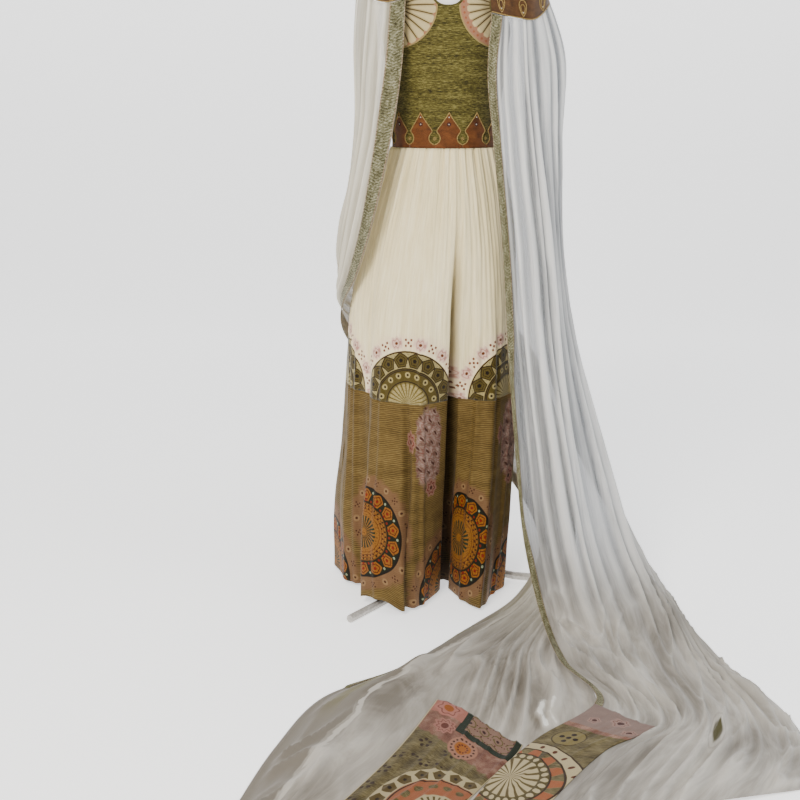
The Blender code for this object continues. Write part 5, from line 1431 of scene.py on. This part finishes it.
def wing_surface(wing, along, across):
    """Points, outward normals and shade of a wing at distances along it and shares across it.

    The smooth sheet is moved outwards by its main folds, by even pleats and by small crinkles.
    On the floor wide billows and ridges rise instead, and under an end band they lie flat.
    """
    keys = wing_keys(wing)
    shaped = wing_sheet(wing, along, across)
    normals = grid_normals(shaped) * -wing.out
    v, s = along[:, None], across
    floor = np.clip(1 - shaped[..., 2] / 0.25, 0, 1)
    on_floor = ease(v, wing.floor_at - 0.15, wing.floor_at + 0.15) + 0 * s
    sway = 0.016 * lattice(v * 2.2 + 0 * s, s * 3 + 0 * v, 21)
    height = np.zeros_like(floor)
    for number, fold in enumerate(wing.folds):
        floor_share = np.clip(v / wing.floor_at, 0, 1)
        end_share = np.clip((v - wing.floor_at) / (keys[-1] - wing.floor_at), 0, 1)
        middle = fold.band + (fold.floor - fold.band) * floor_share + (fold.end - fold.floor) * end_share
        away = np.clip(np.abs(s - middle - sway) / fold.half_width, 0, 1)
        uneven = 0.74 + 0.58 * lattice(v * 1.9 + 7 * number, s * 0 + v * 0, 31 + number)
        height = height + fold.height * np.cos(away * np.pi / 2) ** 1.4 * uneven * (1 - 0.35 * on_floor)
    # Shade to paint where the wing hangs: dark where the main folds stand low.
    shade = np.clip(1 - height / 0.012, 0, 1) ** 1.3
    count = s * wing.cad_columns
    pleat = PLEAT_HEIGHTS[(count // 2).astype(int) % 4] * (1 - np.cos(np.pi * count)) / 2 * (count > 2)
    height = height + 0.15 * pleat * (1 - on_floor)
    gather = np.clip(1 - v / 0.45, 0, 1)
    fine = (np.sin(s * TAU * 31 + 5 * lattice(v * 4, s * 6, 41)) * 0.0016 + 0.0016) * gather
    crinkle = 0.0012 * np.abs(lattice(s * 36 + v * 2.0, v * 12 + s * 5, 51))
    drift = v * 0.6 + 0.8 * lattice(v * 1.7 + 0 * s, s * 4 + 0 * v, 91)
    warp = 2.2 * lattice(v * 2.0 + 0 * s, s * 3 + 0 * v, 61) + 0.7 * lattice(v * 5 + 0 * s, s * 7 + 0 * v, 62)
    ridged = 1 - np.abs(np.sin(np.pi * (s * wing.cad_columns * 0.36 + drift + warp)))
    small = 1 - np.abs(np.sin(np.pi * (s * wing.cad_columns * 0.85 - drift + 1.6 * warp)))
    size = 0.65 + 0.55 * lattice(s * 6 + 0 * v, v * 2.6 + 0 * s, 63)
    small_size = 0.55 + 0.55 * lattice(s * 9 + 0 * v, v * 4 + 0 * s, 64)
    billow = 0.006 * (1 + lattice(s * 4 + v * 0.8, v * 2.4 - s * 2, 81))
    cross = 1 - np.abs(np.sin(np.pi * (v * 4.5 + 2.4 * lattice(s * 4 + 0 * v, v * 3 + 0 * s, 65))))
    cross_size = np.clip(lattice(s * 3 + 0 * v, v * 3.5 + 0 * s, 66), 0, 1)
    rumple = on_floor * (billow + 0.026 * size * ridged ** 3 + 0.005 * small_size * small ** 2
                         + 0.020 * cross_size * cross ** 3)
    # Shade to paint where the wing lies: dark between its ridges and cross folds, with wide soft patches of painted
    # shade at random.
    lying = (0.66 - 1.00 * size * ridged ** 2 - 0.30 * small_size * small ** 2 - 1.0 * cross_size * cross ** 2
             + 0.50 * lattice(s * 7 + v * 2, v * 6 - s * 2, 101))
    shade = shade * (1 - on_floor) + on_floor * np.clip(0.15 * shade + 0.95 * lying, 0, 1)
    height = height + fine + crinkle + rumple
    grown = np.clip(v / 0.35, 0.12, 1)
    trim = trim_share(wing, along)[:, None]
    calm = ease(s, trim * 0.95, trim + 0.045) * ease(s, 1.0, 0.97) * ease(v, keys[-1], keys[-1] - 0.06)
    lift = 1 - 0.25 * floor if wing.out > 0 else 1 - (1.55 + 0.55 * (1 - s)) * floor
    height = height * grown * calm * lift
    first_band, last_band = (keys[k] for k in wing.end_band)
    low, high = (k / 3 for k in wing.thirds)
    under = ease(v, first_band - 0.10, first_band + 0.02) * ease(v, last_band + 0.10, last_band)
    under = under * ease(s, low - 0.06, low) * ease(s, high + 0.06, high)
    height = height * (1 - 0.80 * under)
    points = shaped + normals * height[..., None]
    points[..., 2] = np.maximum(points[..., 2], FLOOR_CLEARANCE)
    return points, normals, shade


def crumple(points, shade):
    """A small crumpled ridge that stands on the floor part of the left wing, beside the right one."""
    x, y, z = points[..., 0], points[..., 1], points[..., 2]
    off = x - CRUMPLE[0] - 0.010 * lattice(y * 42, x * 0, 111)
    length = ease(y, CRUMPLE[2], CRUMPLE[2] + 0.02) * ease(y, CRUMPLE[1], CRUMPLE[1] - 0.02) * (z < 0.06)
    side = 0.55 * np.exp(-((off - 0.020) / 0.006) ** 2) + np.exp(-(off / 0.007) ** 2)
    points[..., 2] = z + 0.016 * side * length * (0.75 + 0.25 * lattice(y * 90, x * 60, 113))
    # The shade it returns is painted shade on the flank beside the ridge, and below zero a painted highlight on its
    # crests.
    flank = np.exp(-((off + 0.014) / 0.006) ** 2) * length
    return points, np.clip(shade * (1 - side * length) + 0.9 * flank - 1.0 * side * length, -1, 1)


class Cover:
    """The underside of the cloth that lies on top, as its lowest height in each square of the floor."""

    CELL = 0.012

    def __init__(self, points):
        low = points[points[..., 2] < 0.20]
        self.table = np.full((180, 180), 9.0)
        i, j = self.cell(low)
        np.minimum.at(self.table, (i, j), low[:, 2])
        for axis in (0, 1):
            near = [np.roll(self.table, step, axis) for step in (-2, -1, 0, 1, 2)]
            self.table = np.min(near, axis=0)

    def cell(self, points):
        found = np.floor(points[..., :2] / self.CELL).astype(int) + (70, 110)
        return np.clip(found[..., 0], 0, 179), np.clip(found[..., 1], 0, 179)

    def keep_under(self, points):
        """Points on or near the floor are brought below the cloth that covers them."""
        limit = np.maximum(self.table[self.cell(points)] - 0.0045, FLOOR_CLEARANCE)
        points[..., 2] = np.where(points[..., 2] < 0.16, np.minimum(points[..., 2], limit), points[..., 2])
        return points


def build_wings(sheer, braid, tibeb):
    """The sheer wings, the braid along each front edge and the embroidered band on each end."""
    cover = None
    for wing in WINGS:
        keys = wing_keys(wing)
        along = np.linspace(0, keys[-1], wing.rows + 1)
        across = np.broadcast_to(np.linspace(0, 1, wing.columns + 1), (wing.rows + 1, wing.columns + 1))
        grid, normals, shade = wing_surface(wing, along, across)
        if cover is None:
            cover = Cover(grid)
        else:
            grid, shade = crumple(grid, shade)
            grid = cover.keep_under(grid)
        cloth_map = np.stack(np.broadcast_arrays(across * wing.cloth_width, along[:, None]), -1)
        piece = cloth_piece(f"wing_{wing.side}", grid, cloth_map, sheer[wing.side], 0.0005,
                            normals, shade)
        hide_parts(f"wing_{wing.side}")
        along = np.linspace(0.002, keys[wing.trim_sections], 420)
        local = np.linspace(0, 1, 9)
        across = trim_share(wing, along)[:, None] * local
        grid, normals, shade = wing_surface(wing, along, across)
        side_up = np.interp(along, keys[[0, 14, 15, 16]] + (0, 0.10, 0.10, -0.05), (0, 0, 1, 0)) if wing.out < 0 else 0 * along
        grid = grid + grid_normals(grid) * -wing.out * 0.0030 * (1 - 2 * ease(side_up, 0, 0.3))[:, None, None]
        grid[..., 2] = np.maximum(grid[..., 2], 0.0006)
        if wing.out < 0:
            grid = cover.keep_under(grid)
        cloth_map = np.stack(np.broadcast_arrays(local[None, :], along[:, None]), -1)
        trim = cloth_piece(f"trim_{wing.side}", grid, cloth_map, braid, 0.0012, normals)
        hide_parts(f"trim_{wing.side}")
        first, last = wing.end_band
        low, high = (k / 3 for k in wing.thirds)
        along = np.linspace(keys[first], keys[last], 120)
        local = np.linspace(0, 1, 60)
        across = np.broadcast_to(low + (high - low) * local, (120, 60))
        grid, normals, shade = wing_surface(wing, along, across)
        up = grid_normals(grid)
        up = up * np.sign(up[..., 2:])
        grid = grid + up * 0.0024
        cloth_map = np.stack(np.broadcast_arrays(local[None, :] * wing.band_size[0],
                                                 (along[:, None] - along[0]) / (along[-1] - along[0])
                                                 * wing.band_size[1]), -1)
        band = cloth_piece(f"end_band_{wing.side}", grid, cloth_map, tibeb[wing.side], 0.0012, up)
        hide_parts(f"end_band_{wing.side}")


def build_stage(paper):
    """A floor that curves up into a wall behind the dress, in one sheet."""
    run = np.array([(-6.0, 0.0), (3.2, 0.0)])
    turn = np.linspace(0, np.pi / 2, 24)
    bend = np.stack([3.2 + 1.6 * np.sin(turn), 1.6 - 1.6 * np.cos(turn)], -1)
    profile = np.concatenate([run[:1], bend, [(4.8, 7.0)]])
    across = np.linspace(-8, 8, 3)
    grid = np.stack([across[None, :] + 0 * profile[:, :1], profile[:, :1] + 0 * across[None, :],
                     profile[:, 1:] + 0 * across[None, :] - 0.0004], -1)
    mesh = bpy.data.meshes.new("floor")
    mesh.from_pydata(grid.reshape(-1, 3).tolist(), [], grid_quads(*grid.shape[:2]).tolist())
    mesh.shade_smooth()
    mesh.materials.append(paper)
    floor = bpy.data.objects.new("floor", mesh)
    bpy.context.scene.collection.objects.link(floor)


def add_light(name, place, target, size, energy, colour):
    """A square area light turned to a target."""
    lamp = bpy.data.lights.new(name, "AREA")
    lamp.size = size
    lamp.energy = energy
    lamp.color = colour
    holder = bpy.data.objects.new(name, lamp)
    holder.location = place
    holder.rotation_euler = (Vector(target) - Vector(place)).to_track_quat("-Z", "Y").to_euler()
    bpy.context.scene.collection.objects.link(holder)


def build_light_and_camera():
    """Soft light from the upper left, a weaker cool one from the right, a pale world and the camera."""
    target = AXIS + np.array((0.1, -0.2, 0.6))
    add_light("key", tuple(AXIS + np.array((-1.35, -3.2, 2.9))), target, 1.3, 165.0, (1.0, 0.95, 0.87))
    add_light("fill", tuple(AXIS + np.array((2.8, -1.2, 2.0))), target, 2.0, 40.0, (0.88, 0.94, 1.0))
    world = bpy.data.worlds.new("pale_room")
    world.use_nodes = True
    world.node_tree.nodes["Background"].inputs["Color"].default_value = (0.95, 0.97, 1.0, 1.0)
    world.node_tree.nodes["Background"].inputs["Strength"].default_value = 0.55
    bpy.context.scene.world = world
    lens = bpy.data.cameras.new("camera")
    lens.lens = CAMERA_LENS
    lens.sensor_width = 36.0
    camera = bpy.data.objects.new("camera", lens)
    camera.location = tuple(AXIS + np.array(CAMERA))
    camera.rotation_euler = (math.radians(90 - CAMERA_PITCH), 0.0, 0.0)
    bpy.context.scene.collection.objects.link(camera)
    bpy.context.scene.camera = camera


def dress_node(name, finish):
    """Give a CAD node that stays a better material."""
    for slot in bpy.data.objects[name].material_slots:
        slot.material = finish


def main():
    olive = lurex_looks()
    rust = rust_looks("rust_satin", tint(88, 54, 22), tint(124, 78, 36), tint(154, 103, 58))
    arm_rust = rust_looks("arm_satin", tint(72, 50, 26), tint(100, 70, 38), tint(128, 94, 56))
    gold = cord_looks("gold_cord", tint(150, 124, 74), tint(206, 182, 128))
    pearl = bead_looks("pearl", tint(232, 226, 212), 0.25)
    dark = bead_looks("dark_beads", tint(92, 36, 24), 0.35)
    build_bodice(olive, olive)
    build_waist_band(rust, gold, pearl, dark)
    build_fans((fan_looks("rayed_patch_left", 0.945), fan_looks("rayed_patch_right", 0.80)))
    build_sleeves(olive, arm_rust, gold, pearl)
    build_skirt(white_looks(), border_looks())
    tibeb = {"left": left_band_looks(), "right": right_band_looks()}
    # Both wings are one chiffon. Each has a ridge colour and a painted shade colour where it hangs and a darker pair,
    # painted shade, where it lies; where they hang the right wing's colours are cooler and the left's warmer, painted
    # light from the cool fill on the right and the warm key on the left.
    sheer = {"right": sheer_looks("sheer_right", tint(211, 210, 208), tint(102, 105, 109), tint(184, 180, 173),
                                  tint(112, 107, 100), RIGHT_FLOOR_AT,
                                  (0.690, wing_keys(WINGS[0])[9:11].mean())),
             "left": sheer_looks("sheer_left", tint(220, 215, 202), tint(168, 162, 146), tint(178, 173, 165),
                                 tint(106, 100, 91), LEFT_FLOOR_AT, turned_edge=True)}
    build_wings(sheer, braid_looks(), tibeb)
    metal = metal_looks()
    dress_node("form_torso", form_looks())
    for name in ("form_pole", "stand_hub", "stand_leg_1", "stand_leg_2", "stand_leg_3"):
        dress_node(name, metal)
    build_stage(floor_looks())
    build_light_and_camera()


main()
